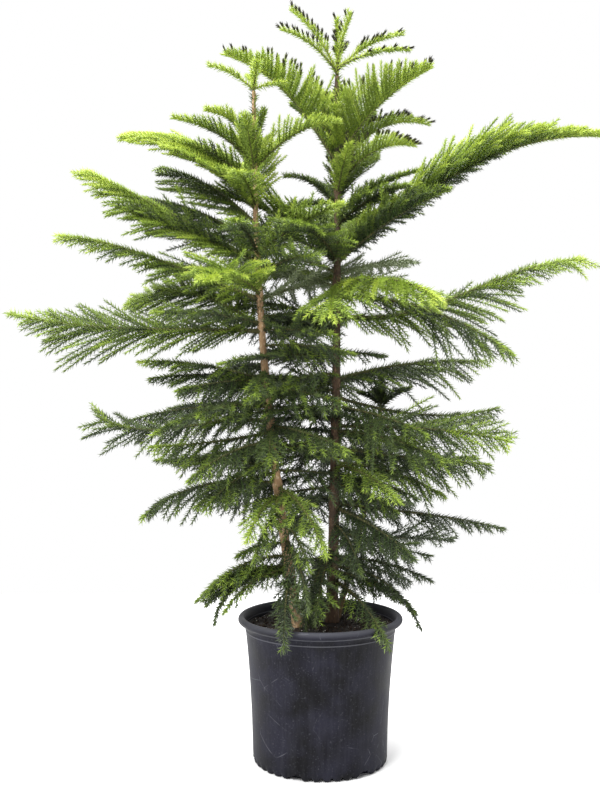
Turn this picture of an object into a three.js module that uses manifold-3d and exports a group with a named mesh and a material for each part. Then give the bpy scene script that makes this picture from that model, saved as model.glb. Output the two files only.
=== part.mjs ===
// Norfolk Island pine in a round nursery pot: three leaders of different height rise from one pot.
// Each leader carries whorls of boughs, and each bough spreads into a frond of needled branchlets.
// Millimetres, +Z up, +Y away from the viewer. The pot stands on the plane z = 0, its axis on Z.

import * as THREE from "three";
import { mergeVertices } from "three/addons/utils/BufferGeometryUtils.js";
import Module from "manifold-3d";

const wasm = await Module();
wasm.setup();

// Driving dimensions, in millimetres and degrees

const CLEARANCE = 0.3;

const POT = {
  height: 229,
  lipOuterRadius: 131,
  lipRollRadius: 5.7,
  lipRollStart: -80,
  lipRollEnd: 125,
  lipFootRadius: 121.5,
  lipFootHeight: 216.5,
  neckRadius: 119.6,
  neckHeight: 211,
  waistRadius: 108.2,
  waistHeight: 108,
  wallFootRadius: 106,
  wallFootHeight: 7,
  footRadius: 100,
  wallThickness: 2.4,
  floorThickness: 3,
  sides: 28,
  curveSteps: 3,
};
const DRAIN = { count: 6, firstBearing: -112, width: 32, height: 9, depth: 24, centreRadius: 104 };
const SOIL_LEVEL = 214;

// A leader runs from its foot on the soil to its top whorl; bow is how far its middle stands off
// the straight line between the two, and flare is what the root collar adds to the foot's radius.
const LEADERS = {
  right: { foot: [19, 12], top: [28, 16], topHeight: 1091, bow: [3, 0], radii: [9, 3.4], flare: 3.5 },
  left: {
    foot: [-34, -22],
    top: [-104, -34],
    topHeight: 1052,
    bow: [-19, 0],
    radii: [8, 2.6],
    flare: 3,
  },
  small: { foot: [28, 46], top: [102, 60], topHeight: 555, bow: [9, 4], radii: [5, 2.2], flare: 2 },
};
const FLARE_SHARE = 0.025;
const TRUNK_SIDES = 8;
const TRUNK_STATIONS = [0, 0.012, 0.03, 0.07, 0.16, 0.3, 0.45, 0.6, 0.8, 1];

// The shoot above each leader's top whorl: its length, and the young boughs that spread from its
// foot. A bough is [bearing, reach, rise at its root, middle and tip]; bearings turn anticlockwise
// from +X as seen from above, and a rise is measured from the level.
const CROWNS = {
  right: {
    shoot: 92,
    boughs: [
      [180, 132, 70, 56, 36],
      [202, 117, 50, 36, 4],
      [12, 134, 48, 36, 8],
      [-10, 122, 30, 12, -8],
      [80, 110, 50, 38, 15],
      [-62, 82, 70, 60, 45],
    ],
  },
  left: {
    shoot: 42,
    boughs: [
      [180, 82, 46, 32, 8],
      [18, 52, 30, 14, 2],
      [100, 70, 45, 35, 10],
      [-80, 58, 40, 28, 5],
    ],
  },
  small: {
    shoot: 62,
    boughs: [
      [8, 58, 48, 36, 12],
      [178, 44, 45, 35, 12],
      [95, 52, 42, 30, 8],
      [-96, 24, 66, 58, 40],
    ],
  },
};

// Young boughs leave the shoot one above the other by this share of it, and buds end its last share
const CROWN_STEP = 0.035;
const BUD_SHARE = 0.62;

// The whorls below, from the top down: height above the floor, and boughs as in the crowns
const WHORLS = {
  right: [
    { height: 955, boughs: [[180, 275, 59, 58, 14], [-15, 212, 60, 44, 22], [95, 220, 60, 46, 22]] },
    { height: 908, boughs: [[15, 234, 74, 40, -12], [-30, 171, 56, 28, -21], [-80, 115, 48, 34, 12]] },
    { height: 800, boughs: [[-6, 488, 36, 40, -6], [168, 260, 38, 28, 10], [82, 300, 34, 26, 8]] },
    { height: 755, boughs: [[-55, 253, 5, -5, -30], [-95, 215, -2, -14, -34], [122, 310, 16, 10, 2]] },
    { height: 715, boughs: [[4, 468, -12, 50, 2]] },
    { height: 602, boughs: [[10, 255, 19, 4, -1], [98, 280, 8, 2, -6]] },
    { height: 536, boughs: [[-28, 292, -2, 4, -14]] },
    { height: 404, boughs: [[2, 280, -7, -5, -14], [-50, 190, -8, -18, -30], [112, 250, 0, -8, -18]] },
    { height: 290, boughs: [[-4, 160, 2, -22, -55], [-60, 185, -8, -22, -50]] },
  ],
  left: [
    { height: 938, boughs: [[185, 152, 50, 30, 6], [215, 129, 76, 37, -6], [-14, 165, 45, 37, -8]] },
    { height: 932, boughs: [[96, 150, 46, 34, 10]] },
    { height: 880, boughs: [[180, 240, 54, 30, -4], [-100, 130, 34, 10, -6], [104, 215, 42, 30, 8]] },
    { height: 792, boughs: [[179, 305, 30, 29, 26], [-30, 165, 32, 26, 12], [86, 270, 30, 20, 6]] },
    { height: 735, boughs: [[180, 333, 19, 29, 5], [-108, 225, 20, -2, -20], [132, 300, 22, 12, 2]] },
    { height: 685, boughs: [[181, 402, 2, -4, 14], [158, 276, 34, 18, -24]] },
    { height: 600, boughs: [[185, 203, 20, 8, -2], [100, 270, 10, 2, -6]] },
    { height: 537, boughs: [[178, 306, 8, -34, 30], [-40, 160, -4, -12, -22]] },
    { height: 440, boughs: [[195, 233, 9, -6, -42], [-62, 190, -4, -30, -55]] },
    { height: 300, boughs: [[186, 150, 10, -20, -45], [-94, 185, 6, -32, -75]] },
  ],
  small: [{ height: 440, boughs: [[10, 190, 24, 12, 0], [76, 180, 32, 14, 0]] }],
};

// The boughs of a whorl leave the leader this far apart in height, the steepest on top
const WHORL_STAGGER = 7;
const BOUGH_LETTERS = "abc";

// Boughs at least this long show a bare limb of their own before the frond begins
const BARE_LIMB_REACH = 320;
const BARE_LIMB_SHARE = 0.2;

// Old boughs below this height fork near the leader into a second, shorter stem that droops to the side
// that has room for it
const FORK = { below: 620, share: 0.08, turns: [50, -50, 84, -84], reachShare: 0.75, droop: 24 };

// Frond: radius of its stem, and how branchlets stand along it
const STEM = { rootRadius: 1.4, radiusPerReach: 0.006, tipShare: 0.4, stations: [0.5], sides: 3 };
const BRANCHLET = {
  pitch: 18,
  firstShare: 0.1,
  clearOfLimb: 0.03,
  lastShare: 0.97,
  lengthPerReach: 0.38,
  crownLengthPerReach: 0.2,
  longest: 100,
  shortest: 11,
  youngWidest: 0.27,
  oldWidest: 0.44,
  rootLength: 0.4,
  tipLength: 0.2,
  angleAtRoot: 62,
  angleAtTip: 44,
  tipJitter: 0.05,
  lengthJitter: 0.14,
};
const YOUNG_RISE = 35;

// Branchlets stand up in a vee on steep young boughs and hang below the old level ones
const LIFT = { perRise: 1.3, onLevelBough: -27, lowest: -46, highest: 54 };

// Habit of single boughs where it is their own. Beside the rule: spread, how long the branchlets are;
// left, the same for the left-hand side alone; angle, how far they turn from the stem. In place of the
// rule: lift, how far they stand up; roll, how far the right-hand side is rolled up; widest and narrow,
// the shares of the bough where they are longest and where they are down to the tip's length
const HABIT = {
  crown_left: { spread: 0.6 },
  right_1a: { spread: 0.72, angle: 24, widest: 0.32 },
  right_1b: { spread: 1.05 },
  right_2a: { spread: 0.42 },
  right_2b: { spread: 0.75 },
  right_2c: { spread: 0.7 },
  right_3a: { spread: 0.85, angle: 2, lift: 46, roll: -12, widest: 0.5 },
  right_5a: { spread: 1.05, left: 0.55, lift: -16, roll: -26, widest: 0.4, narrow: 0.62 },
  right_6a: { spread: 0.95, lift: -20, roll: -20 },
  right_7a: { spread: 1.15, lift: -8, roll: -28 },
  right_8a: { spread: 0.55 },
  right_8b: { spread: 0.8 },
  right_9a: { spread: 0.55 },
  right_9b: { spread: 0.5 },
  left_1a: { spread: 0.6 },
  left_1b: { spread: 0.7 },
  left_1c: { spread: 0.72 },
  left_3a: { spread: 1.2, angle: -14, lift: -32 },
  left_3b: { spread: 0.85 },
  left_4a: { spread: 1.1, angle: -6, lift: -18, roll: 14 },
  left_5a: { spread: 0.6, lift: -16, roll: 10, widest: 0.25 },
  left_6a: { spread: 0.95, left: 1.25, angle: -12, lift: 0, roll: 32, widest: 0.5, narrow: 0.95 },
  left_6b: { lift: -5, roll: 32 },
  left_7a: { spread: 0.7, lift: -22 },
  left_8a: { spread: 0.72, lift: -4, roll: 26, widest: 0.75 },
  left_8b: { spread: 0.8 },
  left_9a: { spread: 0.95, lift: -22 },
  left_9b: { spread: 0.6 },
  left_10a: { spread: 0.75 },
  left_10b: { spread: 0.45 },
};

// A frond is a toothed blade on either side of its stem. Each tooth is the spray of one branchlet, the
// notches between them lie at this share of their length, and one that has no room is tried shorter.
const VANE = {
  notchShare: 0.5,
  halfThickness: 3.2,
  thicknessShare: 0.3,
  lengths: [1, 0.75, 0.5, 0.3],
  endLength: 14,
};
const BUD = { radius: 4.5, widestShare: 0.35 };
const KEEP_CLEAR = 0.8;
const SLIVER = 0.1;
const SEED = 20457;

const COLOURS = {
  pot: 0x2b2d33,
  soil: 0x33271e,
  trunk_right: 0x5a3a2b,
  trunk_left: 0x8c5f3c,
  trunk_small: 0x7a6040,
  bough: 0x6b5a35,
  youngNeedles: 0x86b83f,
  upperNeedles: 0x4f8a33,
  lowerNeedles: 0x2f5a2c,
};
const UPPER_HEIGHT = 590;
const ROUGHNESS = { pot: 0.5, soil: 0.95, bark: 0.85, needles: 0.55 };

// Small helpers

const X_AXIS = new THREE.Vector3(1, 0, 0);
const Z_AXIS = new THREE.Vector3(0, 0, 1);
const { clamp, degToRad, lerp } = THREE.MathUtils;

function seededRandom(seed) {
  let state = seed;
  return () => {
    state = (state + 0x6d2b79f5) | 0;
    let mixed = Math.imul(state ^ (state >>> 15), 1 | state);
    mixed = (mixed + Math.imul(mixed ^ (mixed >>> 7), 61 | mixed)) ^ mixed;
    return ((mixed ^ (mixed >>> 14)) >>> 0) / 2 ** 32;
  };
}

const random = seededRandom(SEED);
const jitter = (amount) => amount * (2 * random() - 1);

// A closed geometry as a solid that can be joined and cut
function solidOf(geometry) {
  geometry.deleteAttribute("normal");
  geometry.deleteAttribute("uv");
  const merged = mergeVertices(geometry);
  const corners = merged.index.array;
  const triVerts = [];
  for (let i = 0; i < corners.length; i += 3) {
    const [a, b, c] = corners.slice(i, i + 3);
    if (a !== b && b !== c && c !== a) {
      triVerts.push(a, b, c);
    }
  }
  return new wasm.Manifold(
    new wasm.Mesh({
      numProp: 3,
      vertProperties: new Float32Array(merged.attributes.position.array),
      triVerts: new Uint32Array(triVerts),
    }),
  );
}

function meshOf(name, solid, colour, roughness) {
  const { vertProperties, triVerts } = solid.getMesh();
  const geometry = new THREE.BufferGeometry();
  geometry.setAttribute("position", new THREE.BufferAttribute(vertProperties, 3));
  geometry.setIndex(new THREE.BufferAttribute(triVerts, 1));
  geometry.computeVertexNormals();
  const material = new THREE.MeshStandardMaterial({ color: colour, roughness, metalness: 0 });
  const mesh = new THREE.Mesh(geometry, material);
  mesh.name = name;
  return mesh;
}

// A limb: a turned profile of [radius, share of length] whose axis is carried along a curve. Its
// rings stand square to the curve, or level where the side vector is left out.
function limb(profile, sides, curve, side) {
  const outline = profile.map(([radius, share]) => new THREE.Vector2(radius, share));
  const geometry = new THREE.LatheGeometry(outline, sides);
  const place = geometry.attributes.position;
  const across = side ?? X_AXIS;
  for (let i = 0; i < place.count; i += 1) {
    const share = place.getY(i);
    const along = side ? curve.getTangent(share) : Z_AXIS;
    const up = new THREE.Vector3().crossVectors(across, along);
    const point = curve.getPoint(share);
    point.addScaledVector(across, place.getX(i));
    point.addScaledVector(up, place.getZ(i));
    place.setXYZ(i, point.x, point.y, point.z);
  }
  return solidOf(geometry);
}

const largestBody = (solid) => solid.decompose().sort((a, b) => b.volume() - a.volume())[0];

// Pot and soil, turned about the pot's axis

function wallCurve(outline, inset, topRadius, topHeight) {
  outline.quadraticCurveTo(POT.waistRadius - inset, POT.waistHeight, topRadius - inset, topHeight);
}

function turned(outline) {
  const geometry = new THREE.LatheGeometry(outline.getPoints(POT.curveSteps), POT.sides);
  return solidOf(geometry.rotateX(Math.PI / 2));
}

function drainSlot(index) {
  const slot = new THREE.BoxGeometry(DRAIN.depth, DRAIN.width, 2 * DRAIN.height);
  slot.translate(DRAIN.centreRadius, 0, 0);
  slot.rotateZ(degToRad(DRAIN.firstBearing + (360 / DRAIN.count) * index));
  return solidOf(slot);
}

function potSolid() {
  const rollCentre = POT.lipOuterRadius - POT.lipRollRadius;
  const rollHeight = POT.height - POT.lipRollRadius;
  const outline = new THREE.Path();
  outline.moveTo(0, 0);
  outline.lineTo(POT.footRadius, 0);
  outline.quadraticCurveTo(POT.wallFootRadius, 0, POT.wallFootRadius, POT.wallFootHeight);
  wallCurve(outline, 0, POT.neckRadius, POT.neckHeight);
  outline.lineTo(POT.lipFootRadius, POT.lipFootHeight);
  outline.absarc(
    rollCentre,
    rollHeight,
    POT.lipRollRadius,
    degToRad(POT.lipRollStart),
    degToRad(POT.lipRollEnd),
  );
  outline.lineTo(POT.neckRadius - POT.wallThickness, SOIL_LEVEL);
  outline.quadraticCurveTo(
    POT.waistRadius - POT.wallThickness,
    POT.waistHeight,
    POT.wallFootRadius - POT.wallThickness,
    POT.floorThickness,
  );
  outline.lineTo(0, POT.floorThickness);
  let pot = turned(outline);
  for (let i = 0; i < DRAIN.count; i += 1) {
    pot = pot.subtract(drainSlot(i));
  }
  return pot;
}

function soilSolid() {
  const inset = POT.wallThickness + CLEARANCE;
  const outline = new THREE.Path();
  outline.moveTo(0, POT.floorThickness + CLEARANCE);
  outline.lineTo(POT.wallFootRadius - inset, POT.floorThickness + CLEARANCE);
  wallCurve(outline, inset, POT.neckRadius, SOIL_LEVEL);
  outline.lineTo(0, SOIL_LEVEL);
  return turned(outline);
}

// Leaders

const leaderFoot = SOIL_LEVEL + CLEARANCE;

function leaderCurve({ foot, top, topHeight, bow }) {
  const start = new THREE.Vector3(...foot, leaderFoot);
  const end = new THREE.Vector3(...top, topHeight);
  const middle = start.clone().lerp(end, 0.5);
  middle.add(new THREE.Vector3(2 * bow[0], 2 * bow[1], 0));
  return new THREE.QuadraticBezierCurve3(start, middle, end);
}

function trunkSolid(leader, grown) {
  const [footRadius, topRadius] = leader.radii;
  const rings = TRUNK_STATIONS.map((share) => {
    const flare = leader.flare * Math.exp(-share / FLARE_SHARE);
    return [lerp(footRadius, topRadius, share) + flare + grown, share];
  });
  return limb([[0, 0], ...rings, [0, 1]], TRUNK_SIDES, leaderCurve(leader));
}

function pointOnLeader(leader, height) {
  const share = (height - leaderFoot) / (leader.topHeight - leaderFoot);
  return leaderCurve(leader).getPoint(share);
}

// Boughs and fronds

function boughCurve(root, [bearing, reach, ...rises]) {
  const heading = degToRad(bearing);
  const points = [root];
  for (const rise of rises.map(degToRad)) {
    const run = Math.cos(rise);
    const leg = new THREE.Vector3(Math.cos(heading) * run, Math.sin(heading) * run, Math.sin(rise));
    points.push(points.at(-1).clone().addScaledVector(leg, reach / rises.length));
  }
  return new THREE.CubicBezierCurve3(...points);
}

const sideOf = (bearing) => X_AXIS.clone().applyAxisAngle(Z_AXIS, degToRad(bearing - 90));

const stemRadius = (reach, share) =>
  (STEM.rootRadius + STEM.radiusPerReach * reach) * lerp(1, STEM.tipShare, share);

// The stretch of a bough's stem between two shares of its length
function stemSolid(curve, side, reach, from, to) {
  const stretch = new THREE.CubicBezierCurve3();
  stretch.getPoint = (share) => curve.getPoint(lerp(from, to, share));
  stretch.getTangent = (share) => curve.getTangent(lerp(from, to, share));
  const radiusAt = (share) => stemRadius(reach, lerp(from, to, share));
  const rings = [0, ...STEM.stations, 1].map((share) => [radiusAt(share), share]);
  return limb([[0, 0], ...rings, [0, 1]], STEM.sides, stretch, side);
}

// How long a branchlet is at a share of its bough: longest at the widest share, short at both ends
function branchletLength(full, share, widest, narrow) {
  const { rootLength, tipLength, lengthJitter, shortest } = BRANCHLET;
  const inward = lerp(rootLength, 1, share / widest);
  const outward = Math.max(tipLength, lerp(1, tipLength, (share - widest) / (narrow - widest)));
  return Math.max(shortest, full * Math.min(inward, outward) * (1 + jitter(lengthJitter)));
}

// A bough's stem and the teeth on its two sides, which have yet to grow: bounds are the shares of the
// bough between one pair of teeth and the next
function layVane(curve, bough, from, crown, habit = {}) {
  const [bearing, reach, rootRise] = bough;
  const usualLift = clamp(LIFT.perRise * rootRise + LIFT.onLevelBough, LIFT.lowest, LIFT.highest);
  const usualWidest = rootRise >= YOUNG_RISE ? BRANCHLET.youngWidest : BRANCHLET.oldWidest;
  const { spread = 1, left = 1, angle = 0, roll = 0, narrow = 1 } = habit;
  const { lift = usualLift, widest = usualWidest } = habit;
  const lengthPerReach = crown ? BRANCHLET.crownLengthPerReach : BRANCHLET.lengthPerReach;
  const full = spread * Math.min(BRANCHLET.longest, reach * lengthPerReach);
  const first = Math.max(from + BRANCHLET.clearOfLimb, BRANCHLET.firstShare);
  const count = Math.round(((BRANCHLET.lastShare - first) * reach) / BRANCHLET.pitch);
  const bounds = [];
  const teeth = [];
  for (let i = 0; i <= count; i += 1) {
    bounds.push(lerp(first, BRANCHLET.lastShare, i / count));
  }
  for (let i = 0; i < count; i += 1) {
    const share = (bounds[i] + bounds[i + 1]) / 2;
    for (const hand of [1, -1]) {
      const length = branchletLength(hand > 0 ? full : left * full, share, widest, narrow);
      teeth.push({ segment: i, hand, share, length, sway: jitter(BRANCHLET.tipJitter), grown: 0 });
    }
  }
  return { curve, side: sideOf(bearing), reach, from, bounds, teeth, lift, roll, turn: angle };
}

// Which way the branchlets of one side point, at a share of the bough
function headingOf({ curve, side, lift, roll, turn }, share, hand) {
  const along = curve.getTangent(share);
  const up = new THREE.Vector3().crossVectors(side, along);
  const raised = degToRad(lift + hand * roll);
  const angle = degToRad(lerp(BRANCHLET.angleAtRoot, BRANCHLET.angleAtTip, share) + turn);
  const heading = along.multiplyScalar(Math.cos(angle));
  heading.addScaledVector(side, hand * Math.sin(angle) * Math.cos(raised));
  return heading.addScaledVector(up, Math.sin(angle) * Math.sin(raised));
}

// The upper and lower edge of a blade at a share of the bough, so far out from its line
function bladeEdge(vane, share, hand, distance) {
  const heading = headingOf(vane, share, hand);
  const outer = vane.curve.getPoint(share).addScaledVector(heading, distance);
  const normal = heading.cross(vane.curve.getTangent(share)).normalize().multiplyScalar(hand);
  const offset = Math.min(VANE.halfThickness, VANE.thicknessShare * distance);
  return [offset, -offset].map((step) => outer.clone().addScaledVector(normal, step));
}

function toothTip(vane, { hand, share, sway }, length) {
  const tip = vane.curve.getPoint(share).addScaledVector(headingOf(vane, share, hand), length);
  return tip.addScaledVector(vane.curve.getTangent(share), sway * length);
}

// The room one tooth takes up, from the stem to its tip
function toothRoom(vane, tooth, length) {
  const bounds = [vane.bounds[tooth.segment], vane.bounds[tooth.segment + 1]];
  const points = bounds.flatMap((share) => [
    vane.curve.getPoint(share),
    ...bladeEdge(vane, share, tooth.hand, VANE.notchShare * length),
  ]);
  points.push(toothTip(vane, tooth, length));
  return wasm.Manifold.hull(points.map((point) => point.toArray()));
}

// Six points round the stem: its ridge, the edges of the right blade, its keel and the left blade
function ringPoints(vane, share, rightNotch, leftNotch) {
  const up = new THREE.Vector3().crossVectors(vane.side, vane.curve.getTangent(share));
  const radius = stemRadius(vane.reach, share);
  const [rightUpper, rightLower] = bladeEdge(vane, share, 1, Math.max(radius, rightNotch));
  const [leftUpper, leftLower] = bladeEdge(vane, share, -1, Math.max(radius, leftNotch));
  const ridge = vane.curve.getPoint(share).addScaledVector(up, radius);
  const keel = vane.curve.getPoint(share).addScaledVector(up, -radius);
  return [ridge, rightUpper, rightLower, keel, leftLower, leftUpper];
}

const RING = 6;
const TOOTH_WALL = { 1: 1, "-1": 4 };

// The solid of a stem with its grown teeth: a six-sided tube whose side walls run out into points
function vaneSolid(vane) {
  const grownAt = (segment, hand) =>
    vane.teeth.find((tooth) => tooth.segment === segment && tooth.hand === hand)?.grown ?? 0;
  const notchAt = (bound, hand) =>
    VANE.notchShare * Math.min(grownAt(bound - 1, hand), grownAt(bound, hand));
  const points = ringPoints(vane, vane.from, 0, 0);
  vane.bounds.forEach((share, bound) => {
    points.push(...ringPoints(vane, share, notchAt(bound, 1), notchAt(bound, -1)));
  });
  const walls = new Map();
  for (const tooth of vane.teeth.filter(({ grown }) => grown > 0)) {
    walls.set(RING * (tooth.segment + 1) + TOOTH_WALL[tooth.hand], points.length);
    points.push(toothTip(vane, tooth, tooth.grown));
  }
  const index = [];
  for (let corner = 2; corner < RING; corner += 1) {
    index.push(0, corner, corner - 1);
  }
  const lastRing = RING * vane.bounds.length;
  for (let a = 0; a < lastRing; a += 1) {
    const b = a % RING === RING - 1 ? a - RING + 1 : a + 1;
    const [c, d] = [b + RING, a + RING];
    const tip = walls.get(a);
    if (tip) {
      index.push(a, b, tip, b, c, tip, c, d, tip, d, a, tip);
    } else {
      index.push(a, b, c, a, c, d);
    }
  }
  for (let corner = 0; corner < RING; corner += 1) {
    index.push(lastRing + corner, lastRing + ((corner + 1) % RING), points.length);
  }
  points.push(vane.curve.getPoint(1).addScaledVector(vane.curve.getTangent(1), VANE.endLength));
  return solidOf(new THREE.BufferGeometry().setFromPoints(points).setIndex(index));
}

// The room a fork's bare stem takes up, from just beyond the leader
const forkRoom = (vane) => vaneSolid({ ...vane, from: vane.bounds[0] / 2 });

const boxesNear = (a, b) =>
  [0, 1, 2].every((i) => a.min[i] < b.max[i] + KEEP_CLEAR && b.min[i] < a.max[i] + KEEP_CLEAR);

const tooNear = (a, b) =>
  boxesNear(a.boundingBox(), b.boundingBox()) && a.minGap(b, KEEP_CLEAR) < KEEP_CLEAR;

// Every limb and every frond's stem is laid out first, so that no tooth grows into one of them

const pot = potSolid();
const soil = soilSolid();
const fixed = [pot, soil];
const limbs = [];
const fronds = [];

function addLimb(name, leaderName, solid, colour) {
  fixed.push(solid);
  limbs.push({ name, leaderName, solid, colour });
}

function addFrond(name, leaderName, vanes, forks, joined, hole, colour) {
  const room = [...joined, ...vanes.map(vaneSolid)];
  fronds.push({ name, leaderName, vanes, forks, joined, hole, colour, room });
}

// A bough that runs into its frond, with a bare limb of its own where it is long
function addBough(label, leaderName, root, trunkHole, bough) {
  const [bearing, reach, ...rises] = bough;
  const curve = boughCurve(root, bough);
  const bare = reach >= BARE_LIMB_REACH ? BARE_LIMB_SHARE : 0;
  if (bare) {
    const limbSolid = stemSolid(curve, sideOf(bearing), reach, 0, bare).subtract(trunkHole);
    addLimb(`bough_${label}`, leaderName, largestBody(limbSolid), COLOURS.bough);
  }
  const from = bare ? bare + CLEARANCE / reach : 0;
  const vane = layVane(curve, bough, from, false, HABIT[label]);
  const colour = root.z > UPPER_HEIGHT ? COLOURS.upperNeedles : COLOURS.lowerNeedles;
  const turns = root.z < FORK.below ? FORK.turns : [];
  const forks = turns.map((turn) => {
    const droops = rises.map((rise) => rise - FORK.droop);
    const fork = [bearing + turn, reach * FORK.reachShare, ...droops];
    return layVane(boughCurve(curve.getPoint(FORK.share), fork), fork, 0, false, HABIT[label]);
  });
  addFrond(`frond_${label}`, leaderName, [vane], forks, [], trunkHole, colour);
}

// The young shoot on a leader's top, with its first whorl and its end buds, as one frond
function addCrown(leaderName, leader, trunkHole) {
  const { shoot, boughs } = CROWNS[leaderName];
  const foot = pointOnLeader(leader, leader.topHeight + CLEARANCE);
  const onShoot = (share) => foot.clone().addScaledVector(Z_AXIS, share * shoot);
  const axis = new THREE.LineCurve3(foot, onShoot(1));
  const topRadius = leader.radii[1];
  const rings = [
    [0, 0],
    [topRadius, 0],
    [topRadius * STEM.tipShare, 1 - BUD_SHARE],
    [BUD.radius, lerp(1 - BUD_SHARE, 1, BUD.widestShare)],
    [0, 1],
  ];
  const habit = HABIT[`crown_${leaderName}`];
  const vanes = boughs.map((bough, i) =>
    layVane(boughCurve(onShoot(CROWN_STEP * (i + 1)), bough), bough, 0, true, habit),
  );
  const shootSolid = limb(rings, STEM.sides, axis);
  addFrond(`crown_${leaderName}`, leaderName, vanes, [], [shootSolid], trunkHole, COLOURS.youngNeedles);
}

for (const [leaderName, leader] of Object.entries(LEADERS)) {
  const trunkHole = trunkSolid(leader, CLEARANCE);
  addLimb(`trunk_${leaderName}`, leaderName, trunkSolid(leader, 0), COLOURS[`trunk_${leaderName}`]);
  WHORLS[leaderName].forEach(({ height, boughs }, tier) => {
    boughs.forEach((bough, i) => {
      const label = `${leaderName}_${tier + 1}${BOUGH_LETTERS[i]}`;
      const steps = boughs.filter(([, , rise]) => rise < bough[2]).length - 1;
      const root = pointOnLeader(leader, height + WHORL_STAGGER * steps);
      addBough(label, leaderName, root, trunkHole, bough);
    });
  });
  addCrown(leaderName, leader, trunkHole);
}

// Whether a solid of one frond would come too near a limb or another frond
function blocked(frond, room) {
  const others = fronds.filter((other) => other !== frond);
  return (
    fixed.some((solid) => tooNear(solid, room)) ||
    others.some((other) => other.room.some((solid) => tooNear(solid, room)))
  );
}

// Adds the first fork of each old bough that has room
for (const frond of fronds) {
  const fork = frond.forks.find((vane) => !blocked(frond, forkRoom(vane)));
  if (fork) {
    frond.vanes.push(fork);
    frond.room.push(forkRoom(fork));
  }
}

// Grows the teeth, each as long as it can be clear of every limb and every other frond
for (const frond of fronds) {
  for (const vane of frond.vanes) {
    for (const tooth of vane.teeth) {
      const lengths = VANE.lengths.map((share) => share * tooth.length);
      const length = lengths.find((one) => !blocked(frond, toothRoom(vane, tooth, one)));
      tooth.grown = length ?? 0;
      if (tooth.grown) {
        frond.room.push(toothRoom(vane, tooth, tooth.grown));
      }
    }
  }
}

// The finished plant: pot and soil, then one group for each leader

const plant = new THREE.Group();
plant.add(meshOf("pot", pot, COLOURS.pot, ROUGHNESS.pot));
plant.add(meshOf("soil", soil, COLOURS.soil, ROUGHNESS.soil));

for (const name of Object.keys(LEADERS)) {
  const group = new THREE.Group();
  for (const piece of limbs.filter(({ leaderName }) => leaderName === name)) {
    group.add(meshOf(piece.name, piece.solid, piece.colour, ROUGHNESS.bark));
  }
  for (const frond of fronds.filter(({ leaderName }) => leaderName === name)) {
    const whole = wasm.Manifold.union([...frond.joined, ...frond.vanes.map(vaneSolid)]);
    const clear = largestBody(whole.subtract(frond.hole).simplify(SLIVER));
    group.add(meshOf(frond.name, clear, frond.colour, ROUGHNESS.needles));
  }
  plant.add(group);
}

export default plant;
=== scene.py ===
# A potted Norfolk Island pine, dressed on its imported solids: leaders and boughs with bark, branchlets
# that grow by the same rule as the solids' sprays but finer, needles, a moulded pot and potting mix.
# Sizes are millimetres and degrees, as in the plant's layout, and meshes are written in metres.
import math
from collections import namedtuple

import bpy
import numpy as np
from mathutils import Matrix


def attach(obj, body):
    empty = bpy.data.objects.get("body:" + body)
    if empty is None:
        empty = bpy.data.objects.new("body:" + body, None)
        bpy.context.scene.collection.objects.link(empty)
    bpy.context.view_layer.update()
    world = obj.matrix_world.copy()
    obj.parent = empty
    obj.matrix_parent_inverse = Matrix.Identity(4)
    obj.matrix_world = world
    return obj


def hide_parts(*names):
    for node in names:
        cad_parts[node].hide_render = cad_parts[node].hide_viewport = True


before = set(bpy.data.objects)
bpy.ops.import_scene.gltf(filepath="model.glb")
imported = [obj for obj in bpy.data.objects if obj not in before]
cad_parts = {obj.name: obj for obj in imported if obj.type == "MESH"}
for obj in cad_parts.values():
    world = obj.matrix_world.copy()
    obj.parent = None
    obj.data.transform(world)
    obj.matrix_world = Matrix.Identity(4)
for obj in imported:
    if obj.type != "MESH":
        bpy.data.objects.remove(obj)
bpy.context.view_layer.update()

MM = 0.001
rng = np.random.default_rng(20457)

# Leaders: foot on the soil, top whorl, how far the middle bows, radii at both ends, root collar
SOIL_LEVEL = 214
SEAT_GAP = 0.3
LEADER_FOOT = SOIL_LEVEL + SEAT_GAP
LEADERS = {
    "right": dict(foot=(19, 12), top=(28, 16), top_height=1091, bow=(3, 0), radii=(9, 3.4), flare=3.5),
    "left": dict(foot=(-34, -22), top=(-104, -34), top_height=1052, bow=(-19, 0), radii=(8, 2.6), flare=3),
    "small": dict(foot=(28, 46), top=(102, 60), top_height=555, bow=(9, 4), radii=(5, 2.2), flare=2),
}
FLARE_SHARE = 0.025

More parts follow.
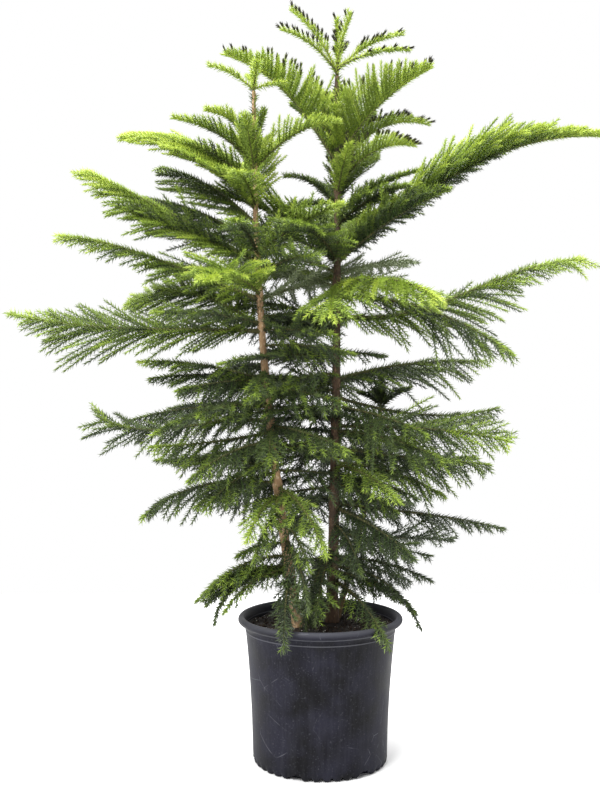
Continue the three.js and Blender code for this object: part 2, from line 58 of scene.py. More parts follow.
# A bough is (bearing, reach, rise at its root, middle and tip). Crowns are the young boughs round the
# shoot above a leader's top whorl, after the shoot's own length; whorls are (height, bough, ...) from the
# top down. Most boughs that show in the photograph were first fitted to marks along them there.
CROWNS = {
    "right": (92, (180, 132, 70, 56, 36), (202, 117, 50, 36, 4), (12, 134, 48, 36, 8),
              (-10, 122, 30, 12, -8), (80, 110, 50, 38, 15), (-62, 82, 70, 60, 45)),
    "left": (42, (180, 82, 46, 32, 8), (18, 52, 30, 14, 2), (100, 70, 45, 35, 10), (-80, 58, 40, 28, 5)),
    "small": (62, (8, 58, 48, 36, 12), (178, 44, 45, 35, 12), (95, 52, 42, 30, 8), (-96, 24, 66, 58, 40)),
}
CROWN_STEP = 0.035
WHORLS = {
    "right": [
        (955, (180, 275, 59, 58, 14), (-15, 212, 60, 44, 22), (95, 220, 60, 46, 22)),
        (908, (15, 234, 74, 40, -12), (-30, 171, 56, 28, -21), (-80, 115, 48, 34, 12)),
        (800, (-6, 488, 36, 40, -6), (168, 260, 38, 28, 10), (82, 300, 34, 26, 8)),
        (755, (-55, 253, 5, -5, -30), (-95, 215, -2, -14, -34), (122, 310, 16, 10, 2)),
        (715, (4, 468, -12, 50, 2)),
        (602, (10, 255, 19, 4, -1), (98, 280, 8, 2, -6)),
        (536, (-28, 292, -2, 4, -14)),
        (404, (2, 280, -7, -5, -14), (-50, 190, -8, -18, -30), (112, 250, 0, -8, -18)),
        (290, (-4, 160, 2, -22, -55), (-60, 185, -8, -22, -50)),
    ],
    "left": [
        (938, (185, 152, 50, 30, 6), (215, 129, 76, 37, -6), (-14, 165, 45, 37, -8)),
        (932, (96, 150, 46, 34, 10)),
        (880, (180, 240, 54, 30, -4), (-100, 130, 34, 10, -6), (104, 215, 42, 30, 8)),
        (792, (179, 305, 30, 29, 26), (-30, 165, 32, 26, 12), (86, 270, 30, 20, 6)),
        (735, (180, 333, 19, 29, 5), (-108, 225, 20, -2, -20), (132, 300, 22, 12, 2)),
        (685, (181, 402, 2, -4, 14), (158, 276, 34, 18, -24)),
        (600, (185, 203, 20, 8, -2), (100, 270, 10, 2, -6)),
        (537, (178, 306, 8, -34, 30), (-40, 160, -4, -12, -22)),
        (440, (195, 233, 9, -6, -42), (-62, 190, -4, -30, -55)),
        (300, (186, 150, 10, -20, -45), (-94, 185, 6, -32, -75)),
    ],
    "small": [(440, (10, 190, 24, 12, 0), (76, 180, 32, 14, 0))],
}
# The boughs of a whorl leave the leader this far apart in height, the steepest on top
WHORL_STAGGER = 7

# Lesser boughs that fill the whorls between those: (height, bough, how fresh its growth is, and its habit
# where that is its own). SAGE lies past the last step of tone, for boughs that show the pale underside of
# their needles
SAGE = 2
# The freshness given here is partly painted light: fillers that stand in the crown's shade take low values
# and so dark tones
FILLING = {
    "right": [
        (985, (-95, 70, 60, 45, 20), 0.72), (952, (130, 170, 60, 45, 30), 0.42),
        (940, (60, 190, 58, 44, 20), 0.45), (880, (150, 125, 52, 40, 0), 0.36, dict(spread=0.36)),
        (890, (62, 190, 50, 35, 10), 0.4), (880, (98, 170, 34, 24, 10), 0.38, dict(spread=0.5)),
        (800, (-125, 150, 40, 22, 0), 0.4),
        (850, (-40, 150, 36, 22, 0), 0.4, dict(spread=0.8, pitch=0.5, lift=8)),
        (862, (-14, 150, 44, 30, 10), 0.5, dict(spread=0.5, pitch=0.6)),
        (790, (185, 150, 38, 22, 0), 0.35),
        (790, (-30, 220, 38, 28, 16), 0.34, dict(spread=0.75, pitch=0.55, lift=44, bend=-0.6, widest=0.5)),
        (795, (-112, 200, 26, 10, -8), 0.42), (775, (150, 250, 24, 12, 0), SAGE),
        (770, (40, 190, 22, 12, 0), SAGE), (752, (148, 210, 18, 10, 0), SAGE),
        (745, (62, 260, 16, 8, 0), SAGE), (700, (175, 300, 15, 10, 5), 0.3),
        (690, (160, 200, 8, 0, -10), 0.24), (650, (124, 220, 6, 0, -6), 0.22),
        (735, (-22, 310, 2, -22, -36), 0.33, dict(spread=1.25, first=0.1, angle=-10, lift=-30, roll=-10)),
        (600, (40, 250, 14, 6, -4), 0.25, dict(spread=0.8, lift=-24)),
        (606, (168, 130, 4, -4, -10), 0.22), (640, (-150, 210, 4, -4, -12), 0.3),
        (645, (-4, 80, 6, -6, -10), 0.2), (640, (108, 240, 10, 4, -4), 0.25),
        (575, (8, 279, -17, -9, 15), 0.28), (560, (-45, 190, -5, -12, -20), 0.3),
        (560, (-150, 200, 0, -5, -10), 0.25), (495, (-14, 247, -11, -1, -5), 0.36),
        (480, (30, 240, 0, -6, -12), 0.22), (470, (-20, 190, 0, -16, -30), 0.3, dict(spread=0.9)),
        (480, (85, 240, 2, -4, -10), 0.2), (480, (150, 200, 0, -6, -12), 0.2),
        (466, (-60, 188, 1, -14, -29), 0.52), (430, (195, 150, 0, -10, -20), 0.22),
        (404, (50, 230, 0, -5, -10), 0.15), (400, (-45, 180, -10, -22, -35), 0.24),
        (362, (-25, 145, -13, -11, 8), 0.16), (345, (8, 165, -8, -10, -12), 0.12),
        (316, (100, 180, 0, -15, -30), 0.12), (316, (165, 130, 0, -15, -30), 0.15),
        (318, (-2, 165, 0, -12, -28), 0.1, dict(spread=0.6)), (314, (40, 190, -12, -17, -24), 0.1),
        (330, (-105, 165, -10, -38, -66), 0.24), (298, (-10, 121, -12, -24, -30), 0.12),
        (302, (-4, 195, 2, -38, -68), 0.08, dict(spread=0.3, pitch=1.6)),
        (585, (195, 150, 4, -6, -14), 0.26), (455, (190, 140, -2, -12, -24), 0.22),
        (798, (-6, 385, 36, 40, 16), 0.2, dict(spread=0.4, pitch=1.1, angle=-14, lift=-36, tip=0.4)),
        (612, (-140, 190, 0, -14, -26), 0.3), (520, (-42, 225, 0, -10, -22), 0.3),
        (510, (-145, 180, -4, -16, -30), 0.28), (450, (-28, 150, -2, -12, -24), 0.26),
        (436, (-38, 130, -6, -18, -30), 0.24), (372, (-70, 140, -6, -30, -56), 0.16),
        (325, (-118, 160, -14, -46, -80), 0.22), (680, (110, 260, 10, 4, -4), 0.3),
        (540, (120, 240, 4, -4, -14), 0.2), (445, (75, 230, 0, -8, -18), 0.16),
    ],
    "left": [
        (922, (-100, 105, 60, 50, 30), 0.66), (930, (70, 120, 75, 68, 50), 0.42),
        (830, (40, 170, 40, 24, 8), 0.4, dict(spread=0.6)), (868, (212, 185, 44, 28, 6), 0.62),
        (845, (152, 215, 44, 34, 15), 0.36, dict(spread=1.3, pitch=1.15, angle=-8, lift=-26)),
        (812, (158, 235, 36, 25, 8), 0.3, dict(spread=1.25, pitch=1.1, angle=-8, lift=-24)),
        (800, (-100, 170, 24, 8, -6), 0.42), (786, (190, 234, 24, 16, 21), 0.36),
        (760, (-60, 170, 20, 5, -8), 0.38), (728, (40, 240, 20, 12, 5), SAGE),
        (694, (58, 210, 8, 0, -8), 0.24), (690, (207, 180, 12, 4, -6), 0.34),
        (680, (-46, 160, 0, -5, -10), 0.32), (700, (20, 150, 10, 0, -10), 0.3),
        (655, (-20, 150, 4, -6, -14), 0.3), (600, (205, 150, 4, -8, -14), 0.28),
        (590, (150, 170, 6, 0, -8), 0.24, dict(spread=0.8, lift=-26)), (590, (60, 230, 6, -2, -8), 0.24),
        (590, (-36, 150, -2, -10, -18), 0.3), (520, (200, 193, -10, -7, 0), 0.36),
        (524, (80, 260, 0, -3, -5), 0.2), (524, (35, 220, 0, -4, -8), 0.22),
        (464, (184, 189, 14, 1, -4), 0.34), (460, (8, 170, 0, -8, -16), 0.24),
        (440, (120, 220, -5, -10, -15), 0.2),
        (326, (196, 155, 4, -24, -46), 0.42, dict(spread=0.85, pitch=1.2)),
        (304, (212, 140, 4, -28, -52), 0.36, dict(spread=0.6, pitch=1.2)),
        (380, (80, 210, 0, -8, -16), 0.18), (296, (186, 165, 24, -18, -52), 0.36, dict(spread=0.5)),
        (318, (95, 150, 0, -15, -30), 0.16), (308, (190, 165, 8, -20, -44), 0.38, dict(spread=0.7)),
        (560, (10, 150, 0, -8, -16), 0.26), (500, (-10, 140, 0, -10, -20), 0.26),
        (560, (140, 230, 6, 0, -10), 0.24), (565, (218, 215, 2, -12, -26), 0.32),
        (560, (165, 250, 4, -6, -16), 0.26), (505, (230, 195, 0, -16, -30), 0.34),
        (490, (165, 170, 4, -8, -22), 0.24), (470, (225, 165, -4, -22, -44), 0.3),
        (455, (218, 160, 0, -16, -32), 0.28), (395, (250, 140, -4, -30, -52), 0.34),
        (418, (-112, 140, 2, -26, -50), 0.62, dict(spread=0.8)),
        (346, (194, 84, 4, -10, -36), 0.34, dict(spread=1.2)),
        (905, (196, 150, 44, 28, 2), 0.62, dict(spread=0.6)),
        (612, (-96, 120, 0, -16, -36), 0.3, dict(spread=0.8)),
        (520, (-90, 130, -2, -18, -40), 0.3, dict(spread=0.8)),
        (600, (172, 190, 10, 2, -8), 0.26, dict(spread=0.8, lift=-26)),
        (300, (188, 180, 14, -34, -80), 0.2, dict(spread=0.36)), (350, (-70, 155, -8, -42, -72), 0.22),
        (382, (-66, 130, -10, -32, -52), 0.3), (300, (178, 155, 6, -24, -48), 0.3, dict(spread=0.75)),
        (620, (110, 240, 8, 0, -8), 0.24), (490, (110, 230, 2, -6, -14), 0.18),
    ],
    "small": [(340, (30, 200, 0, -5, -10), 0.12), (340, (90, 180, 0, -5, -10), 0.12)],
}

# Habit of single boughs where it is their own. Beside the rule: spread, how long the branchlets are; left,
# the same for the left-hand side alone; pitch, how far apart they stand; angle, how far they turn from
# the stem. In place of the rule: lift, how far they stand up; roll, how far the right-hand side is rolled
# up; bend, how the tips bend; first, the share of the bough where they start; widest and narrow, the shares
# where they are longest and where they are down to the tip's length; tip, that length as a share
HABIT = {
    "crown_left": dict(spread=0.6),
    "crown_small": dict(spread=3, pitch=0.5, first=0.1),
    "right_1a": dict(spread=0.72, pitch=0.55, angle=24, widest=0.32, tip=0.1, first=0.28),
    "right_1b": dict(spread=1.0, pitch=0.5, angle=10),
    "right_2a": dict(spread=0.42),
    "right_2b": dict(spread=0.75),
    "right_2c": dict(spread=0.7),
    "right_3a": dict(spread=0.96, pitch=0.5, angle=2, lift=46, roll=-12, bend=-0.6, widest=0.52, tip=0.1),
    "right_4a": dict(pitch=0.8),
    "right_5a": dict(spread=1.1, left=0.45, pitch=0.55, lift=-14, roll=-24, widest=0.48, narrow=0.66,
                     tip=0.34),
    "right_6a": dict(spread=1.0, left=0.6, lift=-26, roll=-16),
    "right_7a": dict(spread=1.15, pitch=0.9, lift=-8, roll=-28),
    "right_8a": dict(spread=0.55),
    "right_8b": dict(spread=0.8),
    "right_9a": dict(spread=0.55),
    "right_9b": dict(spread=0.5),
    "left_1a": dict(spread=0.6),
    "left_1b": dict(spread=0.7),
    "left_1c": dict(spread=0.72),
    "left_3a": dict(spread=1.2, pitch=0.55, angle=-10, lift=-12, roll=20, bend=-0.2, tip=0.22),
    "left_3b": dict(spread=0.85),
    "left_4a": dict(spread=1.1, pitch=0.65, angle=-6, lift=-18, roll=14, tip=0.25),
    "left_5a": dict(spread=0.75, pitch=0.85, lift=-16, roll=10, widest=0.25, tip=0.3),
    "left_5b": dict(pitch=0.8, lift=26, bend=-0.5),
    "left_6a": dict(spread=0.95, left=1.25, pitch=0.6, angle=-12, lift=0, roll=32, widest=0.5, narrow=0.95,
                    tip=0.08),
    "left_6b": dict(pitch=0.85, lift=-5, roll=32),
    "left_7a": dict(spread=0.7, lift=-22),
    "left_8a": dict(spread=0.72, lift=-4, roll=26, widest=0.75, tip=0.5),
    "left_8b": dict(spread=0.8),
    "left_9a": dict(spread=0.95, lift=-22),
    "left_9b": dict(spread=0.6),
    "left_10a": dict(spread=0.75),
    "left_10b": dict(spread=0.45),
}
# A filling bough with no habit given takes one at random about the rule's
LOOSE = dict(spread=(0.65, 1.1), lift=15, roll=24)

# Stems and branchlets along a bough. The stem swells where it leaves the leader and tapers to its tip:
# shares along it, and shares of its radius there
STEM = dict(root_radius=1.3, radius_per_reach=0.006, taper=((0, 0.03, 1), (1.5, 1, 0.3)), last_share=0.985,
            rings=18, sides=6, roughness=0.1)
BRANCHLET = dict(
    pitch=(10.4, 6.3), crown_pitch=8.5, first_share=0.05, crown_first_share=0.3, last_share=0.98,
    length_per_reach=0.38, crown_length_per_reach=0.12, longest=96, shortest=9, crown_shortest=10,
    young_widest=0.27, old_widest=0.44, root_length=0.4, tip_length=0.12, angle_at_root=62, angle_at_tip=44,
    angle_jitter=11, length_jitter=0.2, lift_jitter=14, unevenness=(1, 0.4), place_jitter=0.16, sweep=0.3,
    bend_spread=(0.4, 1.5), missing=0.03, root_radius=1.1, tip_radius=0.5, rings=3, sides=3,
)
# Branchlets stand up in a vee on steep young boughs and hang below the old level ones
LIFT = dict(per_rise=1.3, on_level_bough=-27, lowest=-46, highest=54)
TIP_BEND = ((-45, -10, 38), (-0.45, -0.2, 0.15))
YOUNG_RISE = 35
YOUTH_RISES = (12, 42)

# Needles: awl shaped, pointing forward round the twig by the golden angle. Pairs are for old growth
# and young growth. Lean and size along a twig are shares along it, and the values there.
GOLDEN_ANGLE = math.radians(137.508)
# underside: how far round below the twig the painted shade of a darker tone begins
NEEDLE = dict(width=(1.9, 1.75), length=(9.3, 7.4), pitch=(1.15, 0.72), fewest=3, lean_jitter=7,
              length_jitter=0.12, jitter_limit=2, underside=0.25, outer_from=(0.45, 0.75),
              lean=((0, 0.8, 1), (54, 49, 20)), size=((0, 0.12, 0.85, 1), (0.75, 1, 0.95, 0.75)))
STEM_NEEDLE = dict(width=(2.4, 2.4), length=(11, 9.5), pitch=(0.9, 0.8), bare_share=0.02,
                   lean=((0, 0.85, 1), (60, 45, 20)), size=((0, 0.7, 1), (1, 0.9, 0.75)))
TRUNK_NEEDLE = dict(pitch=0.6, length=9, width=2.4, lean=62, leaf_from=0.7,
                    first_share={"right": 0.3, "left": 0.55, "small": 0.3})
BUD = dict(share=0.7, needles=9, length=10, width=3.0, lean=10, foot_share=0.9)
FILLING_NEEDLE_PITCH = 1.2

# How fresh a bough's growth is: by the height of its root, and for those that show new growth
# Partly painted light: the upper crown takes lighter greens where the top light falls, and low boughs in
# shade take darker ones
FRESH_AND_LIGHT_HEIGHTS = ((214, 400, 560, 720, 900, 1100), (0.12, 0.2, 0.3, 0.48, 0.76, 0.9))
FRESH_AND_LIGHT_OF = {
    "crown_small": 0.18, "right_1b": 0.76, "right_2b": 0.74, "right_2c": 0.84, "right_3a": 0.66,
    "right_4a": 0.68, "right_4b": 0.56, "right_7a": 0.38, "right_8a": 0.15, "right_8b": 0.14,
    "right_9a": 0.2, "right_9b": 0.25, "left_1a": 0.62, "left_3b": 0.68, "left_5b": 0.7, "left_9b": 0.46,
}
# Growth freshens from a share of the bough to its tip; a bough's own stem needles are a little duller
FRESH_TIP = 0.42
FRESH_FILLING_TIP = 0.2
FRESH_TIP_FROM = (0.76, 0.55)
FRESH_TIP_POWER = 1.5
FRESH_STEM_LOSS = 0.08
FRESH_STEM_TIP_FROM = 0.6
# Low boughs in the shade hardly freshen towards their tips
FRESH_TIP_SHARES = ((260, 640), (0.3, 1))
# A twig's outer needles are fresher than its inner ones
FRESH_OUTWARD = (0.05, 0.12)
FRESH_JITTER = 0.09
# Needles take the tone whose step their freshness is under
TONE_STEPS = (0.2, 0.36, 0.55, 0.78, 1.5)
TONES = ("shaded", "deep", "leaf", "bright", "new", "sage", "bud")
DEEP_TONE = TONES.index("deep")
LEAF_TONE = TONES.index("leaf")
SAGE_TONE = TONES.index("sage")
BUD_TONE = TONES.index("bud")
# Boughs whose branchlets end in closed dark buds
BUD_FRONDS = ("crown_right", "right_1", "right_2")

NEEDLES_PER_PIECE = 60000
NEARLY_UPRIGHT = 0.95

Bough = namedtuple("Bough", "label leader curve bearing reach rise fresh habit")


# Curves

def unit(vectors):
    return vectors / np.linalg.norm(vectors, axis=-1, keepdims=True)


def on_curve(controls, shares):
    """Points and unit tangents at shares of smooth curves, one row of control points for each share."""
    legs = controls
    shares = shares[:, None, None]
    while legs.shape[1] > 2:
        legs = legs[:, :-1] + shares * (legs[:, 1:] - legs[:, :-1])
    step = legs[:, 1] - legs[:, 0]
    return legs[:, 0] + shares[:, 0] * step, unit(step)


def square_to(vectors):
    """A unit vector square to each of the vectors, level where the vector isn't upright."""
    upright = np.abs(vectors[..., 2:]) > NEARLY_UPRIGHT
    return unit(np.cross(vectors, np.where(upright, (1.0, 0, 0), (0, 0, 1.0))))


def along_one(curve, shares):
    return on_curve(np.repeat(curve[None], len(shares), axis=0), shares)


def leader_curve(leader):
    start = np.array([*leader["foot"], LEADER_FOOT], float)
    end = np.array([*leader["top"], leader["top_height"]], float)
    middle = (start + end) / 2 + 2 * np.array([*leader["bow"], 0])
    return np.array([start, middle, end])


def point_on_leader(leader, height):
    share = (height - LEADER_FOOT) / (leader["top_height"] - LEADER_FOOT)
    return along_one(leader_curve(leader), np.array([share]))[0][0]


def bough_at(label, leader, root, bough, fresh=None, habit=None):
    bearing, reach, *rises = bough
    heading = math.radians(bearing)
    points = [root]
    for rise in np.radians(rises):
        level = math.cos(rise)
        leg = np.array([math.cos(heading) * level, math.sin(heading) * level, math.sin(rise)])
        points.append(points[-1] + leg * reach / len(rises))
    if fresh is None:
        fresh = FRESH_AND_LIGHT_OF.get(label, np.interp(root[2], *FRESH_AND_LIGHT_HEIGHTS))
    habit = habit or HABIT.get(label, {})
    return Bough(label, leader, np.array(points), bearing, reach, rises[0], fresh, habit)


def grow_boughs():
    boughs = []
    for name, leader in LEADERS.items():
        shoot, *young = CROWNS[name]
        top = point_on_leader(leader, leader["top_height"])
        for i, bough in enumerate(young):
            root = top + np.array([0, 0, CROWN_STEP * (i + 1) * shoot])
            boughs.append(bough_at(f"crown_{name}", name, root, bough))
        boughs.append(bough_at(f"crown_{name}", name, top, (90, shoot, 90, 90, 90)))
        for tier, (height, *whorl) in enumerate(WHORLS[name], 1):
            for i, bough in enumerate(whorl):
                steps = sum(other[2] < bough[2] for other in whorl) - 1
                root = point_on_leader(leader, height + WHORL_STAGGER * steps)
                boughs.append(bough_at(f"{name}_{tier}{'abc'[i]}", name, root, bough))
        for height, bough, fresh, *habits in FILLING[name]:
            habit = habits[0] if habits else loose_habit(bough[2])
            root = point_on_leader(leader, height)
            boughs.append(bough_at(f"{name}_filling", name, root, bough, fresh, habit))
    return boughs


# Branchlets along a bough

def branchlet_length(full, share, outline, shortest):
    """Feather shaped: the longest stand at the widest share, and both ends are short."""
    widest, narrow, tip = outline
    sizes = np.interp(share, (0, widest, narrow, 1), (BRANCHLET["root_length"], 1, tip, tip))
    spread = 1 + BRANCHLET["length_jitter"] * rng.uniform(-1, 1, len(share))
    return np.maximum(shortest, full * sizes * spread)


def usual_lift(rise):
    return np.clip(LIFT["per_rise"] * rise + LIFT["on_level_bough"], LIFT["lowest"], LIFT["highest"])


def loose_habit(rise):
    lift = usual_lift(rise) + LOOSE["lift"] * rng.standard_normal()
    return dict(spread=rng.uniform(*LOOSE["spread"]), lift=lift, roll=LOOSE["roll"] * rng.standard_normal())


def youth_of(rise):
    return np.interp(rise, YOUTH_RISES, (0, 1))


def by_age(pair, youth):
    """A value between the one for old growth and the one for young growth."""
    return pair[0] + (pair[1] - pair[0]) * youth


def branchlets_of(bough):
    """Two rows of branchlets as quadratic curves, with what their needles take from the bough."""
    crown = bough.label.startswith("crown")
    young = bough.rise >= YOUNG_RISE
    filling = bough.label.endswith("filling")
    habit = bough.habit
    youth = youth_of(bough.rise)
    pitch = BRANCHLET["crown_pitch"] if crown else by_age(BRANCHLET["pitch"], youth)
    pitch = pitch * habit.get("pitch", 1)
    first = habit.get("first", BRANCHLET["crown_first_share" if crown else "first_share"])
    last = BRANCHLET["last_share"]
    pairs = max(2, round((last - first) * bough.reach / pitch))
    middle_of_step = np.arange(pairs).repeat(2) + 0.5
    place = (middle_of_step + BRANCHLET["place_jitter"] * rng.uniform(-1, 1, 2 * pairs)) / pairs
    hand = np.tile((1.0, -1.0), pairs)
    kept = rng.random(2 * pairs) >= BRANCHLET["missing"]
    share, hand = first + (last - first) * place[kept], hand[kept]
    count = len(share)
    root, along = along_one(bough.curve, share)
    turn = math.radians(bough.bearing - 90)
    side = np.array([math.cos(turn), math.sin(turn), 0])
    up = np.cross(side, along)
    lift = habit.get("lift", usual_lift(bough.rise)) + hand * habit.get("roll", 0)
    bend = habit.get("bend", np.interp(lift, *TIP_BEND)) * rng.uniform(*BRANCHLET["bend_spread"], count)
    even = by_age(BRANCHLET["unevenness"], youth)
    lifts = np.radians(lift + even * BRANCHLET["lift_jitter"] * rng.standard_normal(count))[:, None]
    leave = np.interp(share, (0, 1), (BRANCHLET["angle_at_root"], BRANCHLET["angle_at_tip"]))
    leave = leave + habit.get("angle", 0)
    leave = np.radians(leave + even * BRANCHLET["angle_jitter"] * rng.standard_normal(count))[:, None]
    across = hand[:, None] * np.cos(lifts) * side + np.sin(lifts) * up
    start = np.cos(leave) * along + np.sin(leave) * across
    end = unit(start + BRANCHLET["sweep"] * along + bend[:, None] * np.array([0, 0, 1.0]))
    per_reach = BRANCHLET["crown_length_per_reach" if crown else "length_per_reach"]
    full = min(BRANCHLET["longest"], bough.reach * per_reach) * habit.get("spread", 1)
    widest = habit.get("widest", BRANCHLET["young_widest" if young else "old_widest"])
    outline = (widest, habit.get("narrow", 1), habit.get("tip", BRANCHLET["tip_length"]))
    full = full * np.where(hand > 0, 1, habit.get("left", 1))
    length = branchlet_length(full, share, outline, BRANCHLET["crown_shortest" if crown else "shortest"])
    middle = root + 0.5 * length[:, None] * start
    tip_from = by_age(FRESH_TIP_FROM, youth)
    tip_gain = FRESH_FILLING_TIP if filling else FRESH_TIP
    tip_gain = tip_gain * np.interp(bough.curve[0, 2], *FRESH_TIP_SHARES)
    near_tip = np.clip((share - tip_from) / (1 - tip_from), 0, 1)
    fresh = bough.fresh + tip_gain * near_tip**FRESH_TIP_POWER
    bud_share = BUD["share"] * habit.get("pitch", 1) if bough.label.startswith(BUD_FRONDS) else 0
    return dict(
        curve=np.stack([root, middle, middle + 0.5 * length[:, None] * end], axis=1),
        length=length,
        fresh=fresh + FRESH_JITTER * rng.standard_normal(count),
        leader=np.full(count, list(LEADERS).index(bough.leader)),
        youth=np.full(count, youth),
        pitch=np.full(count, FILLING_NEEDLE_PITCH if filling else 1),
        bud=rng.random(count) < bud_share,
    )


def tone_of(fresh):
    return np.searchsorted(TONE_STEPS, fresh)


# Needles as rows of foot, direction of the twig, turn round it, lean, length, width, tone and leader

def spread_along(lengths, pitch):
    """Owner, running number and share for points spaced along runs of these lengths."""
    counts = np.maximum(NEEDLE["fewest"], np.round(lengths / pitch)).astype(int)
    owner = np.repeat(np.arange(len(counts)), counts)
    order = np.arange(len(owner)) - np.repeat(np.cumsum(counts) - counts, counts)
    return owner, order, (order + rng.random(len(owner))) / counts[owner]


def needle_rows(foot, along, turn, lean, length, width, tone, leader):
    """Columns for needles round twigs. Those below a twig take painted shade: a tone darker."""
    count = len(foot)
    # Painted shade: needles on the underside of a twig take the next darker tone
    below = (np.sin(turn) > NEEDLE["underside"]) & (tone > 0) & (tone < SAGE_TONE)
    tone = np.where(below, tone - 1, tone)
    lean = np.radians(lean + NEEDLE["lean_jitter"] * rng.standard_normal(count))
    limit = NEEDLE["jitter_limit"]
    length = length * (1 + NEEDLE["length_jitter"] * rng.standard_normal(count).clip(-limit, limit))
    width = np.broadcast_to(width, count)
    return dict(foot=foot, along=along, turn=turn, lean=lean, length=length, width=width, tone=tone,
                leader=leader)


def branchlet_needles(branchlets):
    lengths = branchlets["length"]
    youth = branchlets["youth"]
    owner, order, share = spread_along(lengths, by_age(NEEDLE["pitch"], youth) * branchlets["pitch"])
    foot, along = on_curve(branchlets["curve"][owner], share)
    phase = rng.uniform(0, 2 * np.pi, len(lengths))
    outer_from = rng.uniform(*NEEDLE["outer_from"], len(lengths))
    outward = by_age(FRESH_OUTWARD, youth)
    inner_tone = tone_of(branchlets["fresh"] - outward / 2)
    outer_tone = tone_of(branchlets["fresh"] + outward)
    size = by_age(NEEDLE["length"], youth)
    return needle_rows(
        foot, along, order * GOLDEN_ANGLE + phase[owner],
        np.interp(share, *NEEDLE["lean"]),
        size[owner] * np.interp(share, *NEEDLE["size"]),
        by_age(NEEDLE["width"], youth)[owner],
        np.where(share > outer_from[owner], outer_tone[owner], inner_tone[owner]),
        branchlets["leader"][owner],
    )


def bud_needles(branchlets):
    """Closed dark needles that end the young branchlets."""
    budded = np.flatnonzero(branchlets["bud"])
    owner = budded.repeat(BUD["needles"])
    count = len(owner)
    order = np.arange(count)
    foot, along = on_curve(branchlets["curve"][owner], np.full(count, BUD["foot_share"]))
    return needle_rows(
        foot, along, order * GOLDEN_ANGLE, np.full(count, BUD["lean"]), np.full(count, BUD["length"]),
        BUD["width"], np.full(count, BUD_TONE), branchlets["leader"][owner],
    )


def stem_needles(boughs):
    """Longer needles along the boughs themselves, closing to a point at the tip."""
    curves = np.array([bough.curve for bough in boughs])
    reach = np.array([bough.reach for bough in boughs], float)
    fresh = np.array([bough.fresh for bough in boughs])
    leader = np.array([list(LEADERS).index(bough.leader) for bough in boughs])
    youth = youth_of(np.array([bough.rise for bough in boughs]))
    owner, order, share = spread_along(reach, by_age(STEM_NEEDLE["pitch"], youth))
    kept = share > STEM_NEEDLE["bare_share"]
    owner, order, share = owner[kept], order[kept], share[kept]
    foot, along = on_curve(curves[owner], share)
    tip_gain = FRESH_TIP * np.interp(curves[:, 0, 2], *FRESH_TIP_SHARES)
    near_tip = np.clip((share - FRESH_STEM_TIP_FROM) / (1 - FRESH_STEM_TIP_FROM), 0, 1)
    tone = tone_of(fresh[owner] - FRESH_STEM_LOSS + tip_gain[owner] * near_tip)
    return needle_rows(
        foot, along, order * GOLDEN_ANGLE,
        np.interp(share, *STEM_NEEDLE["lean"]),
        by_age(STEM_NEEDLE["length"], youth)[owner] * np.interp(share, *STEM_NEEDLE["size"]),
        by_age(STEM_NEEDLE["width"], youth)[owner], tone, leader[owner],
    )


def trunk_needles():
    """Needles that the leaders still carry themselves, from a share of their height upwards."""
    rows = []
    for index, (name, leader) in enumerate(LEADERS.items()):
        first = TRUNK_NEEDLE["first_share"][name]
        height = leader["top_height"] - LEADER_FOOT
        count = round((1 - first) * height / TRUNK_NEEDLE["pitch"])
        share = first + (1 - first) * rng.random(count)
        foot, along = along_one(leader_curve(leader), share)
        rows.append(needle_rows(
            foot, along, rng.uniform(0, 2 * np.pi, count), np.full(count, TRUNK_NEEDLE["lean"]),
            TRUNK_NEEDLE["length"] + np.interp(share, (0, 1), leader["radii"]), TRUNK_NEEDLE["width"],
            np.where(share > TRUNK_NEEDLE["leaf_from"], LEAF_TONE, DEEP_TONE), np.full(count, index),
        ))
    return joined(rows)


def joined(tables):
    return {key: np.concatenate([table[key] for table in tables]) for key in tables[0]}


NEEDLE_CORNERS = 4
NEEDLE_FACES = np.array([(0, 1, 3), (1, 2, 3), (2, 0, 3)])
FOOT_ANGLES = [i * 2 * math.pi / 3 for i in range(3)]


def needle_corners(rows):
    """Four corners for each needle: three round its foot and its tip."""
    side = square_to(rows["along"])
    up = np.cross(rows["along"], side)
    turn, lean = rows["turn"][:, None], rows["lean"][:, None]
    out = np.cos(turn) * side + np.sin(turn) * up
    heading = np.cos(lean) * rows["along"] + np.sin(lean) * out
    across = np.cross(rows["along"], out)
    back = np.cross(across, heading)
    half = rows["width"][:, None] / 2
    foot = [rows["foot"] + half * (math.sin(a) * across + math.cos(a) * back) for a in FOOT_ANGLES]
    return np.stack([*foot, rows["foot"] + rows["length"][:, None] * heading], axis=1)


# Tubes for twigs, boughs and leaders

def tubes(curves, shares, radii, sides):
    """Closed tubes along curves: rings at shares, and radii for each tube, ring and side."""
    count, rings = len(curves), len(shares)
    owner = np.arange(count).repeat(rings)
    centre, along = on_curve(curves[owner], np.tile(shares, count))
    centre = centre.reshape(count, rings, 1, 3)
    along = along.reshape(count, rings, 3)
    side = square_to(along[:, :1])
    side = unit(side - (side * along).sum(-1, keepdims=True) * along)
    up = np.cross(along, side)
    angle = np.linspace(0, 2 * np.pi, sides, endpoint=False)[:, None]
    ring = np.cos(angle) * side[:, :, None] + np.sin(angle) * up[:, :, None]
    points = centre + np.broadcast_to(radii, (count, rings, sides))[..., None] * ring
    grid = np.arange(count * rings * sides).reshape(count, rings, sides)
    after = np.roll(grid, -1, axis=2)
    walls = np.stack([grid[:, :-1], after[:, :-1], after[:, 1:], grid[:, 1:]], axis=-1).reshape(-1, 4)
    ends = [grid[:, 0, ::-1], grid[:, -1]]
    return points.reshape(-1, 3), [walls, *ends]


def twig_tubes(branchlets):
    shares = np.linspace(0, BRANCHLET["last_share"], BRANCHLET["rings"])
    radii = np.interp(shares, (0, 1), (BRANCHLET["root_radius"], BRANCHLET["tip_radius"]))
    return tubes(branchlets["curve"], shares, radii[None, :, None], BRANCHLET["sides"])


